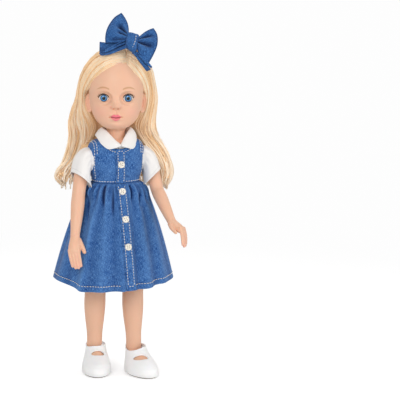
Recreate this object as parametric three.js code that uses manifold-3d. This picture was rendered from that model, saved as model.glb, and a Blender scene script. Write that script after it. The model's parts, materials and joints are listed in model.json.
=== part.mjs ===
// A dressed vinyl play doll, standing: jointed neck, arms and legs, denim pinafore,
// white blouse, bar shoes and a denim hair bow. Millimetres, +Z up, the doll faces -Y.
import * as THREE from 'three';
import { mergeVertices } from 'three/addons/utils/BufferGeometryUtils.js';
import Module from 'manifold-3d';

const wasm = await Module();
wasm.setup();

// Driving dimensions: heights
const legLength = 165; // sole of the shoe to the hip pivot
const torsoLength = 67; // hip pivot to shoulder pivot
const waistRise = 43; // hip pivot to waist seam
const neckRise = 20; // shoulder pivot to the seat of the neck
const neckLength = 13; // seat of the neck to the underside of the chin
const headHeight = 80; // chin to top of skull

// Driving dimensions: body widths and depths
const hipSpacing = 39;
const crotchWidth = 12;
const pelvisWidth = 54;
const pelvisDepth = 34;
const waistWidth = 46;
const waistDepth = 31;
const chestWidth = 52;
const chestDepth = 34;
const shoulderWidth = 54; // between the flat faces that the arms turn against
const neckDiameter = 19.6;
const headWidth = 58;
const headDepth = 64;
const headTurn = -17; // degrees, the way the head is turned at rest

// Driving dimensions: limbs
const upperArmLength = 38;
const forearmLength = 46;
const palmLength = 18;
const fingerLength = 16;
const upperArmDiameter = 15.5;
const elbowDiameter = 14.5;
const wristDiameter = 10.4;
const palmWidth = 13;
const fingerDiameter = 3.4;
const thighDiameter = 27;
const kneeDiameter = 22;
const ankleDiameter = 15;
const hipDiscDiameter = 30;
const armDiscDiameter = 18;
const leftStep = 13; // the left foot stands this far forward
const rightStep = -6;
const toeOut = 12; // degrees that each foot turns outward
const shoulderInset = 9; // middle of the arm's top, outside the flat face

// Driving dimensions: face and hair
const eyeSpacing = 25.5;
const eyeRise = 34; // chin to eye centre
const eyeballDiameter = 16;
const eyeOpeningWidth = 11.9;
const eyeOpeningHeight = 8.8;
const eyeDepth = 9; // eyeball centre behind the face
const irisDiameter = 7.5;
const noseWidth = 8.8;
const noseHeight = 10;
const noseDrop = 10; // eye centre down to the middle of the nose
const earHeight = 19;
const earWidth = 6.4;
const hairThickness = 9;
const hairFall = 72; // chin down to the ends of the curls
const partingX = 11.5;
const lashLength = 2.6;
const earTuck = 4; // eye centre up to where the hair is tucked behind the ears
const curlDepth = 22; // front to back of the curls at their middle

// Driving dimensions: clothes
const skirtLength = 108; // waist seam to hem
const hemWidth = 126;
const hemDepth = 98;
const skirtFolds = 14;
const foldDepth = 2.2;
const placketWidth = 12;
const buttonDiameter = 7.5;
const buttonThickness = 1.6;
const buttonHoleDiameter = 1;
const buttonSpacing = 28;
const firstButtonRise = 20.5; // waist seam up to the middle of the first button
const buttonCount = 4;
const sleeveDiameter = 23; // where the sleeve turns in the armhole
const sleeveHem = 25;
const sleeveDrop = 20; // shoulder pivot down to the middle of the sleeve hem
const sleeveReach = 10; // armhole out to the middle of the sleeve hem
const collarSpread = 24; // neck axis to the outer edge of the collar
const collarStand = 8.5; // seat of the neck to the top of the collar
const collarDip = 8; // seat of the neck down to the front points of the collar
const necklineDrop = 9; // seat of the neck down to the front of the neckline
const briefsRise = 30; // hip pivot to the top of the briefs
const shoeLength = 48;
const shoeWidth = 28.5;
const shoeHeight = 28;
const soleThickness = 1.6;
const strapWidth = 6;

// Driving dimensions: bow
const bowLean = 28; // degrees that the bow leans back on the crown
const knotWidth = 12;
const knotHeight = 20;
const loopThickness = 8;
const tailThickness = 2.2;

// Walls and clearances
const clearance = 0.3; // between pieces that touch
const runningGap = 0.5; // beside a piece that turns
const vinylWall = 2.4;
const squareness = 2.3; // of the waist, 2 is a plain oval
const cottonThickness = 0.8;
const denimThickness = 1.3;
const shoeWall = 1.3;

// Levels and centres that follow from the sizes above
const hipZ = legLength;
const waistZ = hipZ + waistRise;
const shoulderZ = hipZ + torsoLength;
const neckSeatZ = shoulderZ + neckRise;
const chinZ = neckSeatZ + neckLength;
const skullZ = chinZ + headHeight;
const eyeZ = chinZ + eyeRise;
const blouseInner = clearance;
const blouseOuter = blouseInner + cottonThickness;
const bodiceInner = blouseOuter + clearance;
const bodiceOuter = bodiceInner + denimThickness;
const armholeRadius = sleeveDiameter / 2 + runningGap;
const sleeveStart = shoulderWidth / 2 + bodiceOuter + runningGap;

const vinyl = new THREE.MeshStandardMaterial({ color: 0xf0c8ac, roughness: 0.5 });
const plug = new THREE.MeshStandardMaterial({ color: 0xe8e4da, roughness: 0.5 });
const denim = new THREE.MeshStandardMaterial({ color: 0x3f6ba5, roughness: 0.9 });
const cotton = new THREE.MeshStandardMaterial({ color: 0xf6f6f4, roughness: 0.9 });
const hair = new THREE.MeshStandardMaterial({ color: 0xe9cf9a, roughness: 0.6 });
const ivory = new THREE.MeshStandardMaterial({ color: 0xf0e9d2, roughness: 0.35 });
const eyeWhite = new THREE.MeshStandardMaterial({ color: 0xffffff, roughness: 0.15 });
const irisBlue = new THREE.MeshStandardMaterial({ color: 0x2f86d6, roughness: 0.2 });
const clear = new THREE.MeshStandardMaterial({ color: 0xf4fbff, roughness: 0.05 });
const lash = new THREE.MeshStandardMaterial({ color: 0x3a2618, roughness: 0.7 });
const shoeVinyl = new THREE.MeshStandardMaterial({ color: 0xf4f3f2, roughness: 0.45 });
const soleRubber = new THREE.MeshStandardMaterial({ color: 0xd9d6d1, roughness: 0.7 });
const steel = new THREE.MeshStandardMaterial({ color: 0xb9bcc0, roughness: 0.3, metalness: 0.9 });

const vec = (x, y, z) => new THREE.Vector3(x, y, z);
const radians = THREE.MathUtils.degToRad;
const lerp = THREE.MathUtils.lerp;

// Builds a geometry from points and triangles, with its faces turned outward
function closedBody(points, faces) {
  let volume = 0;
  for (let f = 0; f < faces.length; f += 3) {
    const [a, b, c] = [points[faces[f]], points[faces[f + 1]], points[faces[f + 2]]];
    volume += a.dot(b.clone().cross(c));
  }
  const geometry = new THREE.BufferGeometry().setFromPoints(points);
  geometry.setIndex(volume < 0 ? faces.slice().reverse() : faces);
  return geometry;
}

function wallFaces(faces, rings, sides, start) {
  for (let r = 0; r < rings - 1; r++) {
    for (let s = 0; s < sides; s++) {
      const here = start + r * sides + s;
      const next = start + r * sides + ((s + 1) % sides);
      faces.push(here, next, next + sides, here, next + sides, here + sides);
    }
  }
}

// A skin over rings of points, with both ends closed by a fan
function loft(rings) {
  const sides = rings[0].length;
  const points = rings.flat();
  const faces = [];
  wallFaces(faces, rings.length, sides, 0);
  const lastRing = (rings.length - 1) * sides;
  const middle = (ring) => ring.reduce((sum, p) => sum.add(p), vec(0, 0, 0)).divideScalar(sides);
  points.push(middle(rings[0]), middle(rings[rings.length - 1]));
  for (let s = 0; s < sides; s++) {
    const next = (s + 1) % sides;
    faces.push(points.length - 2, next, s);
    faces.push(points.length - 1, lastRing + s, lastRing + next);
  }
  return closedBody(points, faces);
}

// A wall between an outer and an inner set of rings, open at both ends
function sleeveWall(outer, inner) {
  const sides = outer[0].length;
  const points = [...outer.flat(), ...inner.slice().reverse().flat()];
  const faces = [];
  wallFaces(faces, outer.length * 2, sides, 0);
  const last = (outer.length * 2 - 1) * sides;
  for (let s = 0; s < sides; s++) {
    const next = (s + 1) % sides;
    faces.push(last + s, last + next, next, last + s, next, s);
  }
  return closedBody(points, faces);
}

// A level ring: half width a, half depth b, squareness n, round the point x, y
function ring({ x = 0, y = 0, z, a, b, n = 2 }, sides) {
  return Array.from({ length: sides }, (_, s) => {
    const turn = (s / sides) * 2 * Math.PI;
    const bulge = (value) => Math.sign(value) * Math.abs(value) ** (2 / n);
    return vec(x + a * bulge(Math.cos(turn)), y + b * bulge(Math.sin(turn)), z);
  });
}

// Moves level rings outward along the profile's own slope
function grown(rows, distance) {
  return rows.map((row, i) => {
    const below = rows[Math.max(i - 1, 0)];
    const above = rows[Math.min(i + 1, rows.length - 1)];
    const run = above.a - below.a;
    const rise = above.z - below.z;
    const length = Math.hypot(run, rise);
    const outward = (distance * rise) / length;
    return { ...row, a: row.a + outward, b: row.b + outward, z: row.z - (distance * run) / length };
  });
}

const levelLoft = (rows, sides) => loft(rows.map((row) => ring(row, sides)));

// Rings square to a path: each stop has a point, half sizes a and b, and the broad direction
function pathRings(stops, sides) {
  return stops.map((stop, i) => {
    const before = stops[Math.max(i - 1, 0)].at;
    const after = stops[Math.min(i + 1, stops.length - 1)].at;
    const along = stop.along ?? after.clone().sub(before);
    const thin = along.clone().cross(stop.broad).normalize();
    const broad = thin.clone().cross(along).normalize();
    return Array.from({ length: sides }, (_, s) => {
      const turn = (s / sides) * 2 * Math.PI;
      return stop.at
        .clone()
        .addScaledVector(broad, stop.a * Math.cos(turn))
        .addScaledVector(thin, stop.b * Math.sin(turn));
    });
  });
}

const pathLoft = (stops, sides) => loft(pathRings(stops, sides));

// A limb end or finger: a tapering run closed with a rounded tip
function finger(from, to, radius, broad, sides = 6) {
  const reach = to.clone().sub(from);
  const at = (share) => from.clone().addScaledVector(reach, share);
  const stop = (share, size) => ({ at: at(share), a: radius * size, b: radius * size, broad });
  return pathLoft([stop(0, 1.1), stop(0.8, 0.95), stop(1, 0.4)], sides);
}

const boxSolid = (width, depth, height, x, y, z) =>
  new THREE.BoxGeometry(width, depth, height).translate(x, y, z);

// A round bar along X from one x to another
function barX(radius, fromX, toX, y, z, sides = 28) {
  const bar = new THREE.CylinderGeometry(radius, radius, Math.abs(toX - fromX), sides);
  return bar.rotateZ(Math.PI / 2).translate((fromX + toX) / 2, y, z);
}

function barZ(radius, fromZ, toZ, x, y, sides = 28) {
  const bar = new THREE.CylinderGeometry(radius, radius, toZ - fromZ, sides);
  return bar.rotateX(Math.PI / 2).translate(x, y, (fromZ + toZ) / 2);
}

function ovalBarY(halfWidth, halfHeight, fromY, toY, x, z, sides = 20) {
  const bar = new THREE.CylinderGeometry(1, 1, toY - fromY, sides);
  return bar.scale(halfWidth, 1, halfHeight).translate(x, (fromY + toY) / 2, z);
}

function solidOf(geometry) {
  const bare = geometry.clone();
  bare.deleteAttribute('normal');
  bare.deleteAttribute('uv');
  const merged = mergeVertices(bare, 1e-4);
  return new wasm.Manifold(
    new wasm.Mesh({
      numProp: 3,
      vertProperties: Float32Array.from(merged.attributes.position.array),
      triVerts: Uint32Array.from(merged.index.array),
    }),
  );
}

function geometryOf(solid) {
  const mesh = solid.getMesh();
  const geometry = new THREE.BufferGeometry();
  geometry.setAttribute('position', new THREE.Float32BufferAttribute(mesh.vertProperties, 3));
  geometry.setIndex(Array.from(mesh.triVerts));
  return geometry;
}

const cut = (body, ...tools) =>
  geometryOf(tools.reduce((solid, tool) => solid.subtract(solidOf(tool)), solidOf(body)));
const join = (body, ...others) =>
  geometryOf(others.reduce((solid, other) => solid.add(solidOf(other)), solidOf(body)));
const common = (body, tool) => geometryOf(solidOf(body).intersect(solidOf(tool)));

const doll = new THREE.Group();
const headGroup = new THREE.Group();
headGroup.rotation.z = radians(headTurn);
doll.add(headGroup);

function add(name, geometry, material, parent = doll) {
  const mesh = new THREE.Mesh(geometry, material);
  mesh.name = name;
  parent.add(mesh);
  return mesh;
}

// Sides: right is -X, left is +X
const sides = [
  { name: 'right', sign: -1, step: rightStep },
  { name: 'left', sign: 1, step: leftStep },
];

// Torso profile, from the crotch to the seat of the neck
const torsoSides = 18;
const torsoRows = [
  { z: hipZ - 12, a: pelvisWidth * 0.3, b: pelvisDepth * 0.3 },
  { z: hipZ - 6, a: pelvisWidth * 0.43, b: pelvisDepth * 0.43 },
  { z: hipZ + 4, a: pelvisWidth / 2, b: pelvisDepth / 2, n: squareness },
  { z: lerp(hipZ, waistZ, 0.45), a: pelvisWidth * 0.49, b: pelvisDepth * 0.49, n: squareness },
  { z: waistZ, a: waistWidth / 2, b: waistDepth / 2, n: squareness },
  { z: lerp(waistZ, shoulderZ, 0.5), a: chestWidth * 0.49, b: chestDepth / 2, n: 2.4 },
  { z: lerp(shoulderZ, neckSeatZ, 0.3), a: shoulderWidth * 0.52, b: chestDepth * 0.44, n: 2.5 },
  { z: lerp(shoulderZ, neckSeatZ, 0.62), a: shoulderWidth * 0.49, b: chestDepth * 0.37, n: 2.4 },
  { z: lerp(shoulderZ, neckSeatZ, 0.84), a: shoulderWidth * 0.37, b: chestDepth * 0.33, n: 2.2 },
  { z: neckSeatZ - 1.2, a: neckDiameter * 0.68, b: neckDiameter * 0.56 },
  { z: neckSeatZ, a: neckDiameter / 2, b: neckDiameter / 2 },
];

// Space that the thighs sweep as the legs swing, outside the crotch
function legSweep(margin) {
  const tools = [];
  const innerX = crotchWidth / 2 - margin;
  const reach = pelvisWidth;
  const frontRise = thighDiameter / 2 + 2 * margin;
  for (const { sign } of sides) {
    const middleX = sign * (innerX + reach / 2);
    const frontZ = hipZ + (frontRise - reach) / 2;
    const discSpace = hipDiscDiameter / 2 + margin + clearance;
    tools.push(barX(discSpace, sign * innerX, sign * (innerX + reach), 0, hipZ, 24));
    tools.push(boxSolid(reach, pelvisDepth, reach + frontRise, middleX, -pelvisDepth / 2, frontZ));
    tools.push(boxSolid(reach, pelvisDepth, reach, middleX, pelvisDepth / 2, hipZ - reach / 2));
  }
  return tools;
}

// Space round each shoulder axis, outside the flat face that the arm turns against
const armSpace = (radius, faceX) =>
  sides.map(({ sign }) => barX(radius, sign * faceX, sign * (faceX + chestWidth), 0, shoulderZ, 24));

// A garment wall that follows the torso between two levels
function torsoWall(inner, outer, fromZ, toZ) {
  const outside = levelLoft(grown(torsoRows, outer), torsoSides);
  const wall = cut(outside, levelLoft(grown(torsoRows, inner), torsoSides));
  const height = toZ - fromZ;
  return common(wall, boxSolid(2 * chestWidth, 2 * chestWidth, height, 0, 0, fromZ + height / 2));
}

// Plug sizes shared by the holes they turn in
const plugs = {
  neck: { stem: 4.8, flange: 6.8, thickness: 1.6 },
  arm: { stem: 3.6, flange: 5.6, thickness: 1.6 },
  leg: { stem: 6, flange: 9, thickness: 2 },
};
const holeRadius = (joint) => joint.stem + clearance;

function makeTorso() {
  const shell = levelLoft(torsoRows, torsoSides);
  const hollowRows = grown(torsoRows.slice(2, 9), -vinylWall);
  const hollow = levelLoft(hollowRows, 12);
  const legWall = crotchWidth / 2 - vinylWall;
  const armWall = shoulderWidth / 2 - vinylWall;
  const hollowLimits = sides.flatMap(({ sign }) => [
    barX(hipDiscDiameter / 2 + vinylWall, sign * legWall, sign * pelvisWidth, 0, hipZ),
    boxSolid(pelvisWidth, pelvisDepth, hipDiscDiameter, sign * (pelvisWidth / 2 + legWall), 0, hipZ),
    barX(armDiscDiameter / 2 + vinylWall, sign * armWall, sign * chestWidth, 0, shoulderZ),
  ]);
  const cavity = cut(hollow, ...hollowLimits);
  const shoulderFaces = armSpace(armholeRadius, shoulderWidth / 2);
  const body = cut(shell, cavity, ...legSweep(runningGap), ...shoulderFaces);
  const neckPocket = neckSeatZ - vinylWall;
  const legPocket = legWall - runningGap;
  const holes = [
    barZ(holeRadius(plugs.neck), neckPocket - 1, neckSeatZ + 1, 0, 0, 14),
    barZ(plugs.neck.flange + clearance, neckPocket - 5, neckPocket, 0, 0, 16),
    barX(holeRadius(plugs.leg), -crotchWidth, crotchWidth, 0, hipZ, 16),
    barX(plugs.leg.flange + clearance, -legPocket, legPocket, 0, hipZ, 20),
    ...sides.flatMap(({ sign }) => [
      barX(holeRadius(plugs.arm), sign * (armWall - 1), sign * chestWidth, 0, shoulderZ, 14),
      barX(plugs.arm.flange + clearance, sign * (armWall - 8), sign * armWall, 0, shoulderZ, 16),
    ]),
  ];
  return cut(body, ...holes);
}

// A stem with a flange at each end, which clips two hollow pieces together. Its origin is on the
// face of the first wall, and a gap lies between the walls
function flangedPlug({ stem, flange, thickness }, gap) {
  const inner = vinylWall + clearance;
  const outer = gap + vinylWall + clearance;
  const outline = [
    new THREE.Vector2(0, -inner - thickness),
    new THREE.Vector2(flange, -inner - thickness),
    new THREE.Vector2(flange, -inner),
    new THREE.Vector2(stem, -inner),
    new THREE.Vector2(stem, outer),
    new THREE.Vector2(flange, outer),
    new THREE.Vector2(flange * 0.7, outer + thickness),
    new THREE.Vector2(0, outer + thickness),
  ];
  return new THREE.LatheGeometry(outline, 10);
}

add('torso', makeTorso(), vinyl);

// Head profile in its own frame, from the neck seat to the skull
const neckRadius = neckDiameter / 2;
const headRows = [
  { z: neckSeatZ + clearance, a: neckRadius, b: neckRadius },
  { z: chinZ - 4, a: neckRadius, b: neckRadius, y: 0.5 },
  { z: chinZ - 0.5, a: headWidth * 0.2, b: headDepth * 0.19, y: -headDepth * 0.1 },
  { z: chinZ + 2, a: headWidth * 0.27, b: headDepth * 0.27, y: -headDepth * 0.105 },
  { z: chinZ + 7, a: headWidth * 0.36, b: headDepth * 0.37, y: -headDepth * 0.065 },
  { z: chinZ + 14, a: headWidth * 0.425, b: headDepth * 0.435, y: -headDepth * 0.03 },
  { z: chinZ + 24, a: headWidth * 0.475, b: headDepth * 0.48, y: -headDepth * 0.005 },
  { z: chinZ + 36, a: headWidth / 2, b: headDepth / 2 },
  { z: chinZ + 48, a: headWidth / 2, b: headDepth / 2 },
  { z: skullZ - 20, a: headWidth * 0.455, b: headDepth * 0.465 },
  { z: skullZ - 9, a: headWidth * 0.34, b: headDepth * 0.35 },
  { z: skullZ - 2, a: headWidth * 0.16, b: headDepth * 0.17 },
  { z: skullZ, a: 1, b: 1 },
];
const faceAt = (x) => -(headDepth / 2) * Math.sqrt(1 - (x / (headWidth / 2)) ** 2);
const eyeCentre = (sign) => vec((sign * eyeSpacing) / 2, faceAt(eyeSpacing / 2) + eyeDepth, eyeZ);

const ball = (radius, at) => new THREE.SphereGeometry(radius, 14, 9).translate(at.x, at.y, at.z);


function earShape(sign, grow) {
  const ear = new THREE.SphereGeometry(1, 10, 7);
  ear.scale(earWidth / 2 + grow, earHeight * 0.3 + grow, earHeight / 2 + grow);
  return ear.rotateZ(radians(sign * 20)).translate((sign * headWidth) / 2, 2, eyeZ - 2);
}

function makeHead() {
  const skin = levelLoft(headRows, 20);
  const hollowRows = grown(headRows.slice(4, 12), -vinylWall);
  const throat = barZ(neckRadius - vinylWall, neckSeatZ + clearance + vinylWall, chinZ + 20, 0, 0, 16);
  const hollow = join(levelLoft(hollowRows, 12), throat);
  const features = [];
  const tools = [hollow, barZ(holeRadius(plugs.neck), neckSeatZ - 1, neckSeatZ + 5, 0, 0, 20)];
  for (const { sign } of sides) {
    features.push(earShape(sign, 0));
    const eye = eyeCentre(sign);
    tools.push(ball(eyeballDiameter / 2 + clearance, eye));
    tools.push(ovalBarY(eyeOpeningWidth / 2, eyeOpeningHeight / 2, faceAt(0) - 5, eye.y, eye.x, eye.z));
  }
  const nose = new THREE.SphereGeometry(1, 10, 8).scale(noseWidth / 2, noseWidth / 2, noseHeight / 2);
  nose.translate(0, faceAt(0) + noseWidth / 6, eyeZ - noseDrop);
  return cut(join(skin, nose, ...features), ...tools);
}

add('head', makeHead(), vinyl, headGroup);

function makeEye({ name, sign }) {
  const eye = eyeCentre(sign);
  const radius = eyeballDiameter / 2;
  const flat = radius * 0.775; // front of the ball is cut flat behind the iris
  const disc = 0.4;
  const front = eye.y - flat;
  const trim = boxSolid(eyeballDiameter, radius, eyeballDiameter, eye.x, front - radius / 2, eye.z);
  add(`${name}_eyeball`, cut(ball(radius, eye), trim), eyeWhite, headGroup);
  const irisFront = front - clearance - disc;
  const irisRadius = irisDiameter / 2;
  const iris = ovalBarY(irisRadius, irisRadius, irisFront, front - clearance, eye.x, eye.z, 14);
  add(`${name}_iris`, iris, irisBlue, headGroup);
  const domeBase = irisFront - clearance;
  const dome = new THREE.SphereGeometry(irisRadius + clearance / 2, 14, 8).scale(1, 0.35, 1);
  const half = boxSolid(radius * 2, radius, radius * 2, 0, -radius / 2, 0);
  add(`${name}_cornea`, common(dome, half).translate(eye.x, domeBase, eye.z), clear, headGroup);
}

// A lash strip fits just under the upper edge of the eye opening
function makeLashes({ name, sign }) {
  const eye = eyeCentre(sign);
  const strip = 0.5;
  const width = eyeOpeningWidth / 2 - clearance;
  const height = eyeOpeningHeight / 2 - clearance;
  const steps = 12;
  const at = (turn, inset) => [(width - inset) * Math.cos(turn), (height - inset) * Math.sin(turn)];
  const turns = Array.from({ length: steps + 1 }, (_, i) => radians(lerp(12, 168, i / steps)));
  const outline = new THREE.Shape();
  outline.moveTo(...at(turns[0], 0));
  turns.slice(1).forEach((turn) => outline.lineTo(...at(turn, 0)));
  turns.slice().reverse().forEach((turn) => outline.lineTo(...at(turn, strip)));
  const strand = new THREE.ExtrudeGeometry(outline, { depth: lashLength, bevelEnabled: false });
  strand.rotateX(Math.PI / 2).translate(eye.x, eye.y - eyeballDiameter / 2 - clearance, eye.z);
  add(`${name}_lashes`, strand, lash, headGroup);
}

for (const side of sides) {
  makeEye(side);
  makeLashes(side);
}

// Clothes on the torso
function makeTorsoClothes() {
  const neckCut = (radius) => barZ(radius, shoulderZ, neckSeatZ + 9, 0, 0, 28);
  const briefs = torsoWall(clearance, clearance + cottonThickness, hipZ - 20, hipZ + briefsRise);
  add('briefs', cut(briefs, ...legSweep(runningGap)), cotton);

  const tuck = 8;
  const blouse = torsoWall(blouseInner, blouseOuter, waistZ - tuck, neckSeatZ + 4);
  const blouseArmholes = armSpace(armholeRadius, shoulderWidth / 2 - 5);
  add('blouse_body', cut(blouse, neckCut(neckRadius + 0.9), ...blouseArmholes), cotton);

  const bodice = torsoWall(bodiceInner, bodiceOuter, waistZ, neckSeatZ + 4);
  const bodiceArmholes = armSpace(armholeRadius + 0.4, shoulderWidth / 2 - 5);
  const scoop = ovalBarY(neckRadius + 4, necklineDrop + 1, -chestDepth, -2, 0, neckSeatZ + 1, 28);
  add('bodice', cut(bodice, neckCut(neckRadius + 4), scoop, ...bodiceArmholes), denim);

  const stripInner = bodiceOuter + clearance;
  const strip = torsoWall(stripInner, stripInner + denimThickness, waistZ, neckSeatZ - necklineDrop);
  const front = boxSolid(placketWidth, chestDepth, chestDepth * 4, 0, -chestDepth / 2 - 2, shoulderZ);
  add('bodice_placket', common(strip, front), denim);
}

makeTorsoClothes();

// Gathered skirt. The share runs from 0 at the waist seam to 1 at the hem
const flare = 0.62; // below 1 the skirt widens most near the waist
function skirtPoint(turn, share, offset) {
  const spread = share ** flare;
  const halfWidth = lerp(waistWidth / 2 + bodiceOuter, hemWidth / 2, spread);
  const halfDepth = lerp(waistDepth / 2 + bodiceOuter, hemDepth / 2, spread);
  const power = 2 / lerp(squareness, 2, spread);
  const across = Math.sign(Math.cos(turn)) * Math.abs(Math.cos(turn)) ** power * halfWidth;
  const along = Math.sign(Math.sin(turn)) * Math.abs(Math.sin(turn)) ** power * halfDepth;
  const besidePlacket = THREE.MathUtils.smoothstep(Math.abs(across), placketWidth / 2 + 1, placketWidth);
  const flatFront = Math.sin(turn) < 0 ? besidePlacket : 1;
  const fromFront = turn + Math.PI / 2;
  const wave = foldDepth * spread * flatFront * Math.cos(skirtFolds * fromFront);
  const grow = wave + offset;
  const z = waistZ - clearance - share * skirtLength;
  return vec(across + grow * Math.cos(turn), along + grow * Math.sin(turn), z);
}

const skirtShares = [0, 0.08, 0.25, 0.5, 0.78, 1];

function makeSkirt() {
  const around = skirtFolds * 4;
  const turnAt = (s) => (s / around) * 2 * Math.PI - Math.PI / 2;
  const rings = (offset) =>
    skirtShares.map((share) =>
      Array.from({ length: around }, (_, s) => skirtPoint(turnAt(s), share, offset)),
    );
  add('skirt', sleeveWall(rings(0), rings(-denimThickness)), denim);

  const across = [-1, -0.5, 0, 0.5, 1];
  const stripRing = (share) => {
    const spread = share ** flare;
    const halfWidth = lerp(waistWidth / 2 + bodiceOuter, hemWidth / 2, spread);
    const edge = (side, offset) => {
      const part = Math.abs((side * placketWidth) / 2 / halfWidth) ** (lerp(squareness, 2, spread) / 2);
      const turn = Math.sign(side) * Math.asin(part) - Math.PI / 2;
      return skirtPoint(turn, share, offset);
    };
    const front = across.map((side) => edge(side, clearance + denimThickness));
    const back = across.slice().reverse().map((side) => edge(side, clearance));
    return [...front, ...back];
  };
  const stripShares = [0.004, 0.03, 0.08, 0.15, 0.25, 0.37, 0.5, 0.64, 0.78, 0.9, 1];
  add('skirt_placket', loft(stripShares.map(stripRing)), denim);
}

makeSkirt();

// Four-hole buttons down the front, the first on the bodice and the rest on the skirt
function makeButtons() {
  const outline = new THREE.Shape().absarc(0, 0, buttonDiameter / 2, 0, 2 * Math.PI);
  const holeCentre = buttonDiameter * 0.18;
  for (const turn of [1, 3, 5, 7]) {
    const angle = (turn * Math.PI) / 4;
    const hole = new THREE.Path();
    const [x, y] = [holeCentre * Math.cos(angle), holeCentre * Math.sin(angle)];
    outline.holes.push(hole.absarc(x, y, buttonHoleDiameter / 2, 0, 2 * Math.PI));
  }
  const layers = bodiceOuter + clearance + denimThickness + clearance;
  const profile = grown(torsoRows, layers);
  const bodiceFront = (z) => {
    const above = profile.findIndex((row) => row.z > z);
    const [low, high] = [profile[above - 1], profile[above]];
    return -lerp(low.b, high.b, (z - low.z) / (high.z - low.z));
  };
  for (let i = 0; i < buttonCount; i++) {
    const z = waistZ + firstButtonRise - i * buttonSpacing;
    const share = (waistZ - clearance - z) / skirtLength;
    const skirtFront = (at) => skirtPoint(-Math.PI / 2, at, 2 * clearance + denimThickness);
    const onSkirt = share > 0;
    const step = buttonDiameter / 2 / skirtLength;
    const [upper, lower] = onSkirt ? [skirtFront(share - step), skirtFront(share + step)] : [];
    const tilt = onSkirt ? Math.atan2(upper.y - lower.y, upper.z - lower.z) : 0;
    const seatY = onSkirt ? skirtFront(share).y : bodiceFront(z) - 0.1;
    const plate = { depth: buttonThickness, bevelEnabled: false, curveSegments: 4 };
    const button = new THREE.ExtrudeGeometry(outline, plate);
    button.rotateX(Math.PI / 2 - tilt).translate(0, seatY, z);
    add(`button_${i + 1}`, button, ivory);
  }
}

makeButtons();

// Collar wings lie round the neck: phi is 0 at the front and 180 degrees at the back
function makeCollar({ name, sign }) {
  const stations = 16;
  const section = (phi) => {
    const front = Math.max(0, Math.cos(phi));
    const back = Math.max(0, -Math.cos(phi));
    const notch = THREE.MathUtils.smoothstep(radians(26) - phi, 0, radians(26));
    const neckR = neckRadius + 1.1 + 6 * front ** 2;
    const neckZ = neckSeatZ + collarStand - (collarStand + 2.7) * front ** 1.5;
    const edgeR = collarSpread - 5 * back - 6 * notch;
    const edgeZ = neckSeatZ + 2 + 2.5 * back - (collarDip + 2) * front ** 0.8 + 3.5 * notch;
    const at = (share, lift) => {
      const r = lerp(neckR, edgeR, share) + lift * 0.5;
      const puff = 1.6 * Math.sin(share * Math.PI);
      return vec(sign * r * Math.sin(phi), -r * Math.cos(phi), lerp(neckZ, edgeZ, share) + puff + lift);
    };
    const shares = [0, 0.33, 0.67, 1];
    const upper = shares.map((share) => at(share, cottonThickness));
    const under = shares.slice().reverse().map((share) => at(share, 0));
    return [...upper, ...under];
  };
  const turns = Array.from({ length: stations }, (_, i) => lerp(1.5, 178.8, i / (stations - 1)));
  const rings = turns.map((turn) => section(radians(turn)));
  const bodiceSpace = levelLoft(grown(torsoRows, bodiceOuter + clearance), torsoSides);
  const neck = barZ(neckRadius + runningGap, shoulderZ, chinZ, 0, 0, 24);
  add(`collar_${name}`, cut(loft(rings), bodiceSpace, neck), cotton);
}

for (const side of sides) {
  makeCollar(side);
}

// Hair on the head, in the head's own frame, down to just above the collar
const hairEndZ = chinZ + 3;
const hairRows = [
  { z: hairEndZ - 4, a: headWidth / 2 + hairThickness * 1.7, b: headDepth / 2 + hairThickness * 0.1, y: 8 },
  { z: chinZ + 15, a: headWidth / 2 + hairThickness * 1.6, b: headDepth / 2 + hairThickness * 0.4, y: 5 },
  { z: chinZ + 27, a: headWidth / 2 + hairThickness * 1.5, b: headDepth / 2 + hairThickness * 0.6, y: 3 },
  { z: chinZ + 40, a: headWidth / 2 + hairThickness * 1.3, b: headDepth / 2 + hairThickness * 0.75, y: 1.5 },
  { z: chinZ + 56, a: headWidth / 2 + hairThickness, b: headDepth / 2 + hairThickness * 0.8 },
  { z: skullZ - 11, a: headWidth * 0.57, b: headDepth * 0.56 },
  { z: skullZ - 1, a: headWidth * 0.42, b: headDepth * 0.42 },
  { z: skullZ + 4.5, a: headWidth * 0.22, b: headDepth * 0.22 },
  { z: skullZ + 6, a: 1, b: 1 },
];

function makeUpperHair() {
  const mass = levelLoft(hairRows, 24);
  const size = 4 * headWidth;
  const browZ = chinZ + 31;
  const faceHalfHeight = 38;
  const faceHalfWidth = headWidth * 0.475;
  const faceFront = -headDepth;
  const tuckZ = eyeZ + earTuck;
  const tuckY = earWidth;
  const tools = [
    levelLoft(grown(headRows, clearance * 2), 20),
    ovalBarY(faceHalfWidth, faceHalfHeight, faceFront, -9, 0, browZ, 28),
    boxSolid(size, headDepth, 2 * browZ, 0, -headDepth / 2 - 9, -15),
    boxSolid(size, size, size, 0, tuckY - size / 2, tuckZ - size / 2),
    boxSolid(size, size, 100, 0, 0, hairEndZ - 50),
    ...sides.map(({ sign }) => earShape(sign, 1)),
  ];
  const shell = cut(mass, ...tools);
  const backY = 14;
  const half = clearance / 2;
  const frontBlock = (fromX, toX) =>
    boxSolid(toX - fromX, size, size, (fromX + toX) / 2, backY - half - size / 2, chinZ);
  add('hair_crown_right', common(shell, frontBlock(-size, partingX - half)), hair, headGroup);
  add('hair_crown_left', common(shell, frontBlock(partingX + half, size)), hair, headGroup);
  const backBlock = boxSolid(size, size, size, 0, backY + half + size / 2, chinZ);
  add('hair_back', common(shell, backBlock), hair, headGroup);
}

makeUpperHair();

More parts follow.
